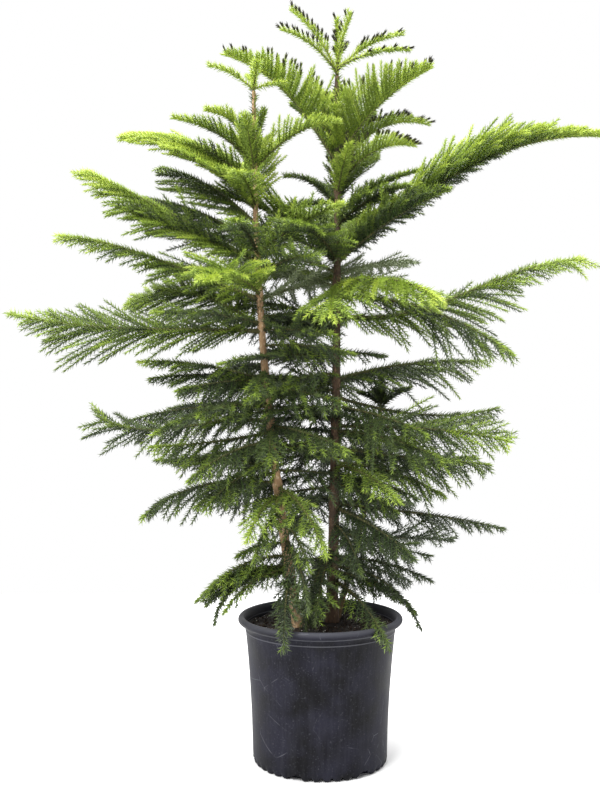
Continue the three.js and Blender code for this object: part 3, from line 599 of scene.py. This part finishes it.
def bough_tubes(boughs):
    curves = np.array([bough.curve for bough in boughs])
    reach = np.array([bough.reach for bough in boughs])[:, None, None]
    shares = np.linspace(0, STEM["last_share"], STEM["rings"])
    taper = np.interp(shares, *STEM["taper"])[None, :, None]
    relief = 1 + STEM["roughness"] * rng.uniform(-1, 1, (len(boughs), STEM["rings"], STEM["sides"]))
    radii = (STEM["root_radius"] + STEM["radius_per_reach"] * reach) * taper * relief
    return tubes(curves, shares, radii, STEM["sides"])


BARK = dict(ring_height=3.2, sides=20, scar_pitch=1.05, scar_height=0.75, scar_size=2.6, knot=1.5,
            knot_size=7, ridge=0.45, ridge_waves=(3, 4, 5, 7), ridge_drift=0.03, ridge_turn=6)


def trunk_tube(name):
    """A leader with root collar, swollen whorls, ridges and the scars of old needles in a spiral."""
    leader = LEADERS[name]
    height = leader["top_height"] - LEADER_FOOT
    shares = np.linspace(0, 1, round(height / BARK["ring_height"]) + 1)
    plain = np.interp(shares, (0, 1), leader["radii"]) + leader["flare"] * np.exp(-shares / FLARE_SHARE)
    up = shares * height
    for whorl_height, *_ in WHORLS[name]:
        off_whorl = (up + LEADER_FOOT - whorl_height) / BARK["knot_size"]
        plain = plain + BARK["knot"] * np.exp(-(off_whorl**2))
    angle = np.linspace(0, 2 * np.pi, BARK["sides"], endpoint=False)
    relief = np.zeros((len(shares), BARK["sides"]))
    for waves in BARK["ridge_waves"]:
        drift = rng.uniform(-BARK["ridge_drift"], BARK["ridge_drift"])
        turn = rng.uniform(0, BARK["ridge_turn"])
        relief += BARK["ridge"] / 2 * np.sin(waves * angle + drift * up[:, None] + turn)
    for scar in range(round(height / BARK["scar_pitch"])):
        near = np.flatnonzero(np.abs(up - scar * BARK["scar_pitch"]) < 2 * BARK["scar_size"])
        turned = (angle - scar * GOLDEN_ANGLE + np.pi) % (2 * np.pi) - np.pi
        over = turned[None, :] * plain[near, None]
        rise = (up[near] - scar * BARK["scar_pitch"])[:, None]
        relief[near] += BARK["scar_height"] * np.exp(-((over**2 + rise**2) / BARK["scar_size"]))
    radii = (plain[:, None] + relief)[None]
    return tubes(leader_curve(leader)[None], shares, radii, BARK["sides"])


# Finishes

def linear(hex_colour):
    """An sRGB hex colour as linear red, green, blue and alpha."""
    parts = [int(hex_colour[i:i + 2], 16) / 255 for i in (1, 3, 5)]
    return (*(p / 12.92 if p <= 0.04045 else ((p + 0.055) / 1.055) ** 2.4 for p in parts), 1)


def add(tree, kind, inputs, **settings):
    """Adds a node: inputs maps sockets to values or to the sockets that feed them."""
    node = tree.nodes.new(kind)
    for name, value in settings.items():
        setattr(node, name, value)
    for socket, value in inputs.items():
        if isinstance(value, bpy.types.NodeSocket):
            tree.links.new(value, node.inputs[socket])
        else:
            node.inputs[socket].default_value = value
    return node


# Places of the sockets of the nodes that mix colours and that map a range
MIX_COLOURS = dict(data_type="RGBA")
FACTOR, COLOUR_A, COLOUR_B = 0, 6, 7
MIXED = 2
VALUE, FROM_LOW, FROM_HIGH, TO_LOW, TO_HIGH = range(5)


def finish_named(name):
    """A new material with an empty tree of nodes, and the place on the object to draw patterns by."""
    material = bpy.data.materials.new(name)
    material.use_nodes = True
    tree = material.node_tree
    tree.nodes.clear()
    place = add(tree, "ShaderNodeTexCoord", {}).outputs["Object"]
    return material, tree, place


def shade(tree, sockets):
    surface = add(tree, "ShaderNodeBsdfPrincipled", sockets)
    add(tree, "ShaderNodeOutputMaterial", {"Surface": surface.outputs[0]})


def per_metre(size_mm):
    return 1 / (size_mm * MM)


# Living conifer needle with a thin waxy skin: a broad soft highlight over a green that drifts from
# twig to twig
NEEDLE_COLOURS = {
    "shaded": ("#3f4933", "#2a3320"),
    "deep": ("#586738", "#404e29"),
    "leaf": ("#778a37", "#5d7229"),
    "bright": ("#9bb047", "#80983a"),
    "new": ("#bccb5a", "#a1b443"),
    "sage": ("#8d9871", "#6c7756"),
    "bud": ("#33311f", "#232216"),
}


def needle_finish(tone):
    material, tree, place = finish_named(f"waxy_conifer_needle_{tone}")
    drift = add(tree, "ShaderNodeTexNoise", {"Vector": place, "Scale": per_metre(24), "Detail": 2})
    light, dark = (linear(colour) for colour in NEEDLE_COLOURS[tone])
    colour = add(tree, "ShaderNodeMix", {FACTOR: drift.outputs["Fac"], COLOUR_A: light, COLOUR_B: dark},
                 **MIX_COLOURS)
    shade(tree, {"Base Color": colour.outputs[MIXED], "Roughness": 0.48, "IOR": 1.45,
                 "Specular IOR Level": 0.35})
    return material


# Young conifer bark: thin, flaking, matt, with paler corky scars in rows
# Beside the bark's own colour the leaders carry painted light: the right leader, behind in shade, is painted
# darker, and the left one, lit from the front, paler
BARK_COLOURS = {
    "right": ("#574230", "#382b1f", "#7a654b"),
    "left": ("#b08e69", "#80664a", "#d8c4a8"),
    "small": ("#7b6447", "#57462f", "#95805f"),
    "bough": ("#54512c", "#3a3a1f", "#6c6a40"),
}


def bark_finish(name):
    material, tree, place = finish_named(f"flaking_young_bark_{name}")
    main, dark, pale = (linear(colour) for colour in BARK_COLOURS[name])
    stretched = add(tree, "ShaderNodeMapping", {"Vector": place, "Scale": (1, 1, 0.45)}).outputs[0]
    patch = add(tree, "ShaderNodeTexNoise", {"Vector": stretched, "Scale": per_metre(9), "Detail": 4})
    flake = add(tree, "ShaderNodeTexVoronoi", {"Vector": stretched, "Scale": per_metre(3.2)})
    scar = add(tree, "ShaderNodeMapRange", {VALUE: flake.outputs["Distance"], FROM_LOW: 0.1, FROM_HIGH: 0.42,
                                            TO_LOW: 1, TO_HIGH: 0})
    tone = add(tree, "ShaderNodeMapRange", {VALUE: patch.outputs["Fac"], FROM_LOW: 0.36, FROM_HIGH: 0.64})
    ground = add(tree, "ShaderNodeMix", {FACTOR: tone.outputs[0], COLOUR_A: dark, COLOUR_B: main},
                 **MIX_COLOURS)
    share = add(tree, "ShaderNodeMath", {0: scar.outputs[0], 1: tone.outputs[0]}, operation="MULTIPLY")
    colour = add(tree, "ShaderNodeMix", {FACTOR: share.outputs[0], COLOUR_A: ground.outputs[MIXED],
                                         COLOUR_B: pale}, **MIX_COLOURS)
    bump = add(tree, "ShaderNodeBump", {"Height": flake.outputs["Distance"], "Strength": 0.6,
                                        "Distance": 0.6 * MM})
    shade(tree, {"Base Color": colour.outputs[MIXED], "Roughness": 0.85, "Normal": bump.outputs[0]})
    return material


# Green twig skin, smooth and dull: a quiet darker green between the needles
def twig_finish():
    material, tree, place = finish_named("green_twig_skin")
    drift = add(tree, "ShaderNodeTexNoise", {"Vector": place, "Scale": per_metre(18), "Detail": 2})
    colour = add(tree, "ShaderNodeMix", {FACTOR: drift.outputs["Fac"], COLOUR_A: linear("#4c6a26"),
                                         COLOUR_B: linear("#33471c")}, **MIX_COLOURS)
    shade(tree, {"Base Color": colour.outputs[MIXED], "Roughness": 0.6})
    return material


# Polyethylene, moulded with a satin skin: charcoal, dulled by dried dust and scratched in use; painted
# highlights on the lip and rings.
# Specks and scratches are drawn coarser than life, so that they show
# Painted highlights: heights of the pale band painted along the top of the rolled lip, and half height of
# the pale band on each raised ring
LIP_HIGHLIGHT_HEIGHTS = (221, 228)
RING_HIGHLIGHT_HALF_HEIGHT = 0.8


def pot_finish():
    material, tree, place = finish_named("moulded_polyethylene_charcoal")
    cloud = add(tree, "ShaderNodeTexNoise", {"Vector": place, "Scale": per_metre(55), "Detail": 5})
    speck = add(tree, "ShaderNodeTexNoise", {"Vector": place, "Scale": per_metre(3), "Detail": 3,
                                             "Roughness": 0.7})
    tall = add(tree, "ShaderNodeMapping", {"Vector": place, "Scale": (1, 1, 0.06)}).outputs[0]
    streak = add(tree, "ShaderNodeTexNoise", {"Vector": tall, "Scale": per_metre(5), "Detail": 5,
                                              "Roughness": 0.7})
    crack = add(tree, "ShaderNodeTexVoronoi", {"Vector": place, "Scale": per_metre(62)},
                feature="DISTANCE_TO_EDGE")
    height = add(tree, "ShaderNodeSeparateXYZ", {0: place}).outputs["Z"]
    cloud_share = add(tree, "ShaderNodeMapRange", {VALUE: cloud.outputs["Fac"], FROM_LOW: 0.36,
                                                   FROM_HIGH: 0.64})
    base = add(tree, "ShaderNodeMix", {FACTOR: cloud_share.outputs[0], COLOUR_A: linear("#0a0a0d"),
                                       COLOUR_B: linear("#1d1d27")}, **MIX_COLOURS)
    speck_share = add(tree, "ShaderNodeMapRange", {VALUE: speck.outputs["Fac"], FROM_LOW: 0.58,
                                                   FROM_HIGH: 0.8, TO_HIGH: 0.3})
    streak_share = add(tree, "ShaderNodeMapRange", {VALUE: streak.outputs["Fac"], FROM_LOW: 0.44,
                                                    FROM_HIGH: 0.76, TO_HIGH: 0.05})
    scratch = add(tree, "ShaderNodeMapRange", {VALUE: crack.outputs["Distance"], FROM_LOW: 0.008,
                                               FROM_HIGH: 0.001, TO_HIGH: 0.45})
    scratched = add(tree, "ShaderNodeMapRange", {VALUE: cloud.outputs["Fac"], FROM_LOW: 0.57,
                                                 FROM_HIGH: 0.62})
    scratch = add(tree, "ShaderNodeMath", {0: scratch.outputs[0], 1: scratched.outputs[0]},
                  operation="MULTIPLY")
    # Painted highlights: the top of the rolled lip and each raised ring are mixed towards pale grey where
    # light catches them; the real specks, streaks and scratches join them
    highlight_low, highlight_high = LIP_HIGHLIGHT_HEIGHTS
    marks_and_highlight = add(tree, "ShaderNodeMapRange", {VALUE: height, FROM_LOW: highlight_low * MM, FROM_HIGH: highlight_high * MM,
                                            TO_HIGH: 0.3})
    for ring in POT["ring_heights"]:
        ring_highlight = add(tree, "ShaderNodeMath", {0: height, 1: ring * MM, 2: RING_HIGHLIGHT_HALF_HEIGHT * MM},
                   operation="COMPARE")
        ring_highlight = add(tree, "ShaderNodeMath", {0: ring_highlight.outputs[0], 1: 0.34}, operation="MULTIPLY")
        marks_and_highlight = add(tree, "ShaderNodeMath", {0: marks_and_highlight.outputs[0], 1: ring_highlight.outputs[0]}, operation="MAXIMUM")
    for share in (speck_share, streak_share, scratch):
        marks_and_highlight = add(tree, "ShaderNodeMath", {0: marks_and_highlight.outputs[0], 1: share.outputs[0]}, operation="MAXIMUM")
    colour = add(tree, "ShaderNodeMix", {FACTOR: marks_and_highlight.outputs[0], COLOUR_A: base.outputs[MIXED],
                                         COLOUR_B: linear("#6f7076")}, **MIX_COLOURS)
    rough = add(tree, "ShaderNodeMapRange", {VALUE: cloud.outputs["Fac"], FROM_LOW: 0.3, FROM_HIGH: 0.7,
                                             TO_LOW: 0.42, TO_HIGH: 0.6})
    bump = add(tree, "ShaderNodeBump", {"Height": speck.outputs["Fac"], "Strength": 0.25,
                                        "Distance": 0.4 * MM})
    shade(tree, {"Base Color": colour.outputs[MIXED], "Roughness": rough.outputs[0], "IOR": 1.51,
                 "Specular IOR Level": 0.1, "Normal": bump.outputs[0]})
    return material


# Moist peat mix, loose: near black brown crumbs that hardly shine. Expanded perlite, popped from volcanic
# glass, is as matt but chalky white
def soil_finish(name, main, dark, grain):
    material, tree, place = finish_named(name)
    crumb = add(tree, "ShaderNodeTexNoise", {"Vector": place, "Scale": per_metre(grain), "Detail": 5})
    share = add(tree, "ShaderNodeMapRange", {VALUE: crumb.outputs["Fac"], FROM_LOW: 0.35, FROM_HIGH: 0.65})
    colour = add(tree, "ShaderNodeMix", {FACTOR: share.outputs[0], COLOUR_A: linear(dark),
                                         COLOUR_B: linear(main)}, **MIX_COLOURS)
    bump = add(tree, "ShaderNodeBump", {"Height": crumb.outputs["Fac"], "Strength": 0.8,
                                        "Distance": 1.5 * MM})
    shade(tree, {"Base Color": colour.outputs[MIXED], "Roughness": 0.9, "Normal": bump.outputs[0]})
    return material


# Pieces

def piece_of(name, points, faces, material, nodes):
    """A mesh piece from points in millimetres and lists of equal-sided faces, riding on the body."""
    mesh = bpy.data.meshes.new(name)
    corners = np.concatenate([face.ravel() for face in faces]).astype(np.int32)
    sizes = np.concatenate([np.full(len(face), face.shape[1]) for face in faces])
    mesh.vertices.add(len(points))
    mesh.vertices.foreach_set("co", (points * MM).astype(np.float32).ravel())
    mesh.loops.add(len(corners))
    mesh.loops.foreach_set("vertex_index", corners)
    mesh.polygons.add(len(sizes))
    mesh.polygons.foreach_set("loop_start", (np.cumsum(sizes) - sizes).astype(np.int32))
    mesh.update(calc_edges=True)
    mesh.materials.append(material)
    piece = bpy.data.objects.new(name, mesh)
    bpy.context.scene.collection.objects.link(piece)
    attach(piece, "root")
    if nodes:
        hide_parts(*nodes)
    return piece


def nodes_named(*starts):
    return [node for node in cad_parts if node.startswith(starts)]


def make_foliage():
    boughs = grow_boughs()
    branchlets = joined([branchlets_of(bough) for bough in boughs])
    needles = joined([
        branchlet_needles(branchlets), bud_needles(branchlets), stem_needles(boughs), trunk_needles(),
    ])
    finishes = [needle_finish(tone) for tone in TONES]
    twig = twig_finish()
    bark = bark_finish("bough")
    for index, name in enumerate(LEADERS):
        fronds = nodes_named(f"frond_{name}", f"crown_{name}")
        own = {key: column[branchlets["leader"] == index] for key, column in branchlets.items()}
        points, faces = twig_tubes(own)
        piece_of(f"twigs_{name}", points, faces, twig, fronds)
        points, faces = bough_tubes([bough for bough in boughs if bough.leader == name])
        piece_of(f"boughs_{name}", points, faces, bark, nodes_named(f"bough_{name}"))
        for tone, tone_name in enumerate(TONES):
            chosen = np.flatnonzero((needles["leader"] == index) & (needles["tone"] == tone))
            parts = math.ceil(len(chosen) / NEEDLES_PER_PIECE)
            for part in range(parts):
                rows = {key: column[chosen[part::parts]] for key, column in needles.items()}
                points = needle_corners(rows).reshape(-1, 3)
                faces = NEEDLE_FACES + NEEDLE_CORNERS * np.arange(len(rows["foot"]))[:, None, None]
                piece = piece_of(f"needles_{name}_{tone_name}_{part + 1}", points, [faces.reshape(-1, 3)],
                                 finishes[tone], fronds)
                piece.data.shade_flat()


def make_trunks():
    for name in LEADERS:
        points, faces = trunk_tube(name)
        piece_of(f"leader_{name}", points, faces, bark_finish(name), [f"trunk_{name}"])


# Pot: the turned wall of the solid with its rolled lip, raised rings, foot notches and drain slots
POT = dict(
    height=229, lip_outer_radius=131, lip_roll_radius=5.7, lip_roll_start=-80, lip_roll_end=125,
    lip_foot_radius=121.5, lip_foot_height=216.5, neck_radius=119.6, neck_height=211, waist_radius=108.2,
    waist_height=108, wall_foot_radius=106, wall_foot_height=7, foot_radius=100, sole_radius=92, wall=2.4,
    floor=16, outside_from=99, sides=240, ring_heights=(215.5, 206.5), ring_rise=1.1, ring_width=1.0,
)
PROFILE_POINTS = dict(lip=13, foot=5, wall=80, inside=10)
NOTCH = dict(count=40, width=0.9, depth=1.2, rise=5, height=12)
DRAIN = dict(count=6, first_bearing=-112, width=32, height=12, depth=24, centre_radius=104, corners=22,
             raggedness=0.45)
DENT = dict(depth=0.7, waves=((2, 0.011), (3, 0.023), (5, 0.017)))


def arc_points(start, control, end, count):
    """Points of a quadratic curve in the plane of radius and height."""
    curve = np.array([[start, control, end]], float)
    shares = np.linspace(0, 1, count)
    return list(map(tuple, on_curve(np.repeat(curve, count, axis=0), shares)[0]))


def pot_profile():
    roll = np.radians(np.linspace(POT["lip_roll_start"], POT["lip_roll_end"], PROFILE_POINTS["lip"]))
    lip = [(POT["lip_outer_radius"] + POT["lip_roll_radius"] * (math.cos(a) - 1),
            POT["height"] + POT["lip_roll_radius"] * (math.sin(a) - 1)) for a in roll]
    foot = (POT["wall_foot_radius"], POT["wall_foot_height"])
    waist = (POT["waist_radius"], POT["waist_height"])
    neck = (POT["neck_radius"], POT["neck_height"])
    inner_neck = (POT["neck_radius"] - POT["wall"], SOIL_LEVEL)
    inner_waist = (POT["waist_radius"] - POT["wall"], POT["waist_height"])
    inner_foot = (POT["wall_foot_radius"] - POT["wall"], POT["floor"])
    outside = [(POT["sole_radius"], 0)]
    outside += arc_points((POT["foot_radius"], 0), (POT["wall_foot_radius"], 0), foot,
                          PROFILE_POINTS["foot"])
    outside += arc_points(foot, waist, neck, PROFILE_POINTS["wall"])[1:]
    outside += [(POT["lip_foot_radius"], POT["lip_foot_height"])]
    inside = arc_points(inner_neck, inner_waist, inner_foot, PROFILE_POINTS["inside"])
    return np.array([*outside, *lip, *inside])


def make_pot():
    profile = pot_profile()
    angle = np.linspace(0, 2 * np.pi, POT["sides"], endpoint=False)
    radius = np.repeat(profile[:, :1], POT["sides"], axis=1)
    height = profile[:, 1:]
    outside = radius > POT["outside_from"]
    for ring in POT["ring_heights"]:
        radius = radius + outside * POT["ring_rise"] * np.exp(-(((height - ring) / POT["ring_width"]) ** 2))
    notch = np.clip(np.cos(NOTCH["count"] * angle) - 1 + NOTCH["width"], 0, None) / NOTCH["width"]
    low = np.clip(1 - height / NOTCH["height"], 0, 1)
    radius = radius - NOTCH["depth"] * np.sqrt(notch)[None] * np.sqrt(low)
    height = height + outside * NOTCH["rise"] * notch[None] * low
    for waves, rise in DENT["waves"]:
        radius = radius + DENT["depth"] / waves * np.sin(waves * angle + rise * height + waves)
    height = np.broadcast_to(height, radius.shape)
    points = np.stack([radius * np.cos(angle), radius * np.sin(angle), height], axis=-1)
    grid = np.arange(radius.size).reshape(radius.shape)
    after = np.roll(grid, -1, axis=1)
    walls = np.stack([grid[:-1], after[:-1], after[1:], grid[1:]], axis=-1).reshape(-1, 4)
    ends = [grid[:1, ::-1], grid[-1:]]
    pot = piece_of("pot_shell", points.reshape(-1, 3), [walls, *ends], pot_finish(), ["pot"])
    cut_drains(pot)


def cut_drains(pot):
    """Cuts ragged arches for the drain slots through the foot of the wall and the floor."""
    corners = DRAIN["corners"]
    half_depth = DRAIN["depth"] / 2
    angle = np.linspace(0, 2 * np.pi, corners, endpoint=False)
    points = []
    faces = []
    for i in range(DRAIN["count"]):
        turn = math.radians(DRAIN["first_bearing"] + 360 / DRAIN["count"] * i)
        ragged = 1 - DRAIN["raggedness"] * rng.random(corners)
        across = ragged * DRAIN["width"] / 2 * np.cos(angle)
        up = ragged * DRAIN["height"] * np.sin(angle)
        for radius in (DRAIN["centre_radius"] - half_depth, DRAIN["centre_radius"] + half_depth):
            points += zip(radius * math.cos(turn) - across * math.sin(turn),
                          radius * math.sin(turn) + across * math.cos(turn), up)
        inner = 2 * corners * i + np.arange(corners)
        outer = inner + corners
        faces += [inner[::-1].tolist(), outer.tolist()]
        faces += np.stack([inner, np.roll(inner, -1), np.roll(outer, -1), outer], axis=-1).tolist()
    mesh = bpy.data.meshes.new("drain_slots")
    mesh.from_pydata(np.array(points) * MM, [], faces)
    cutter = bpy.data.objects.new("drain_slots", mesh)
    bpy.context.scene.collection.objects.link(cutter)
    cut = pot.modifiers.new("drain_slots", "BOOLEAN")
    cut.object = cutter
    cut.solver = "EXACT"
    shown = pot.evaluated_get(bpy.context.evaluated_depsgraph_get())
    finished = bpy.data.meshes.new_from_object(shown)
    pot.modifiers.clear()
    pot.data = finished
    bpy.data.objects.remove(cutter)


# Potting mix: a bumpy bed with crumbs and white perlite on it. A wave is (run across, run back, size, phase)
BED = dict(radius=116.6, depth=14, rings=26, sectors=96, hub_share=0.02, drop=1.5, bump=2.6, grit=0.8)
BED_WAVES = (
    (0.11, 0.05, 1.0, 0.4), (-0.07, 0.13, 0.8, 1.9), (0.21, -0.17, 0.5, 3.1), (0.33, 0.29, 0.35, 0.7),
)
CRUMB = dict(count=650, least=1.6, most=5.5)
PERLITE = dict(count=210, least=1.0, most=2.6)
GRAIN = dict(raised=0.25, swell=1.3, stretch=(0.5, 1), skew=0.3)


def bed_height(x, y):
    level = sum(size * np.sin(run_x * x + run_y * y + phase) for run_x, run_y, size, phase in BED_WAVES)
    return SOIL_LEVEL - BED["drop"] + BED["bump"] / 2 * level


def make_bed():
    angle = np.linspace(0, 2 * np.pi, BED["sectors"], endpoint=False)
    radius = BED["radius"] * np.linspace(BED["hub_share"], 1, BED["rings"])[:, None]
    x, y = radius * np.cos(angle), radius * np.sin(angle)
    top = np.stack([x, y, bed_height(x, y) + rng.uniform(-BED["grit"], BED["grit"], x.shape)], axis=-1)
    skirt = np.stack([x[-1:], y[-1:], np.full_like(x[-1:], SOIL_LEVEL - BED["depth"])], axis=-1)
    points = np.concatenate([top, skirt])
    grid = np.arange(points.shape[0] * BED["sectors"]).reshape(points.shape[0], -1)
    after = np.roll(grid, -1, axis=1)
    walls = np.stack([grid[:-1], grid[1:], after[1:], after[:-1]], axis=-1).reshape(-1, 4)
    ends = [grid[:1], grid[-1:, ::-1]]
    finish = soil_finish("moist_peat_mix", "#2c2018", "#120d09", 4)
    piece_of("potting_mix", points.reshape(-1, 3), [walls, *ends], finish, ["soil"])


def make_grains(name, sizes, finish):
    """Rough eight-sided grains strewn over the bed."""
    count = sizes["count"]
    angle = rng.uniform(0, 2 * np.pi, count)
    radius = (BED["radius"] - sizes["most"]) * np.sqrt(rng.random(count))
    x, y = radius * np.cos(angle), radius * np.sin(angle)
    size = rng.uniform(sizes["least"], sizes["most"], count)
    centre = np.stack([x, y, bed_height(x, y) + GRAIN["raised"] * size], axis=-1)
    knobs = np.array([(1, 0, 0), (0, 1, 0), (-1, 0, 0), (0, -1, 0), (0, 0, 1), (0, 0, -1)], float)
    stretch = rng.uniform(*GRAIN["stretch"], (count, len(knobs), 1))
    skew = rng.uniform(-GRAIN["skew"], GRAIN["skew"], (count, len(knobs), 3))
    points = centre[:, None] + size[:, None, None] / 2 * (knobs * stretch + skew) * GRAIN["swell"]
    sides = np.array([(i, (i + 1) % 4, 4) for i in range(4)] + [((i + 1) % 4, i, 5) for i in range(4)])
    faces = sides + len(knobs) * np.arange(count)[:, None, None]
    piece_of(name, points.reshape(-1, 3), [faces.reshape(-1, 3)], finish, [])


# Stage, in metres: a camera where the photograph was taken, a white floor, and two soft lamps, each with
# its place, aim, size and watts
CAMERA = dict(place=(-0.032, -1.6, 0.579), focal_pixels=1004, frame_height=789, sensor=36)
FLOOR_SIDE = 2.6
LAMPS = {
    "key": ((-1.3, -1.9, 2.5), (0, 0, 0.7), 1.6, 125),
    "top": ((0.3, 0.5, 2.9), (0, 0, 0.6), 1.8, 125),
}


def make_stage():
    scene = bpy.context.scene
    scene.view_settings.view_transform = "Standard"
    camera = bpy.data.cameras.new("camera")
    camera.sensor_width = CAMERA["sensor"]
    camera.lens = CAMERA["focal_pixels"] * CAMERA["sensor"] / CAMERA["frame_height"]
    stand = bpy.data.objects.new("camera", camera)
    stand.location = CAMERA["place"]
    stand.rotation_euler = (math.pi / 2, 0, 0)
    scene.collection.objects.link(stand)
    scene.camera = stand

    world = bpy.data.worlds.new("white_studio")
    world.use_nodes = True
    sky = world.node_tree.nodes["Background"]
    sky.inputs["Color"].default_value = linear("#ffffff")
    sky.inputs["Strength"].default_value = 1.0
    scene.world = world

    # Matt white paint, rolled: plain and bright, with hardly a highlight
    material, tree, _ = finish_named("matt_white_paint")
    shade(tree, {"Base Color": linear("#efefef"), "Roughness": 0.8})
    half = FLOOR_SIDE / 2
    mesh = bpy.data.meshes.new("floor")
    corners = [(-half, -half, 0), (half, -half, 0), (half, half, 0), (-half, half, 0)]
    mesh.from_pydata(corners, [], [(0, 1, 2, 3)])
    mesh.materials.append(material)
    floor = bpy.data.objects.new("floor", mesh)
    scene.collection.objects.link(floor)

    for name, (place, aim, size, watts) in LAMPS.items():
        lamp = bpy.data.lights.new(name, "AREA")
        lamp.size = size
        lamp.energy = watts
        holder = bpy.data.objects.new(name, lamp)
        holder.location = place
        towards = np.array(aim) - np.array(place)
        holder.rotation_euler = (math.atan2(math.hypot(towards[0], towards[1]), -towards[2]), 0,
                                 math.atan2(towards[1], towards[0]) - math.pi / 2)
        scene.collection.objects.link(holder)


make_stage()
make_pot()
make_bed()
make_grains("peat_crumbs", CRUMB, soil_finish("peat_crumb", "#3a2a1d", "#19110b", 3))
make_grains("perlite_grains", PERLITE, soil_finish("expanded_perlite", "#e6e2d8", "#b9b4a8", 1.5))
make_trunks()
make_foliage()
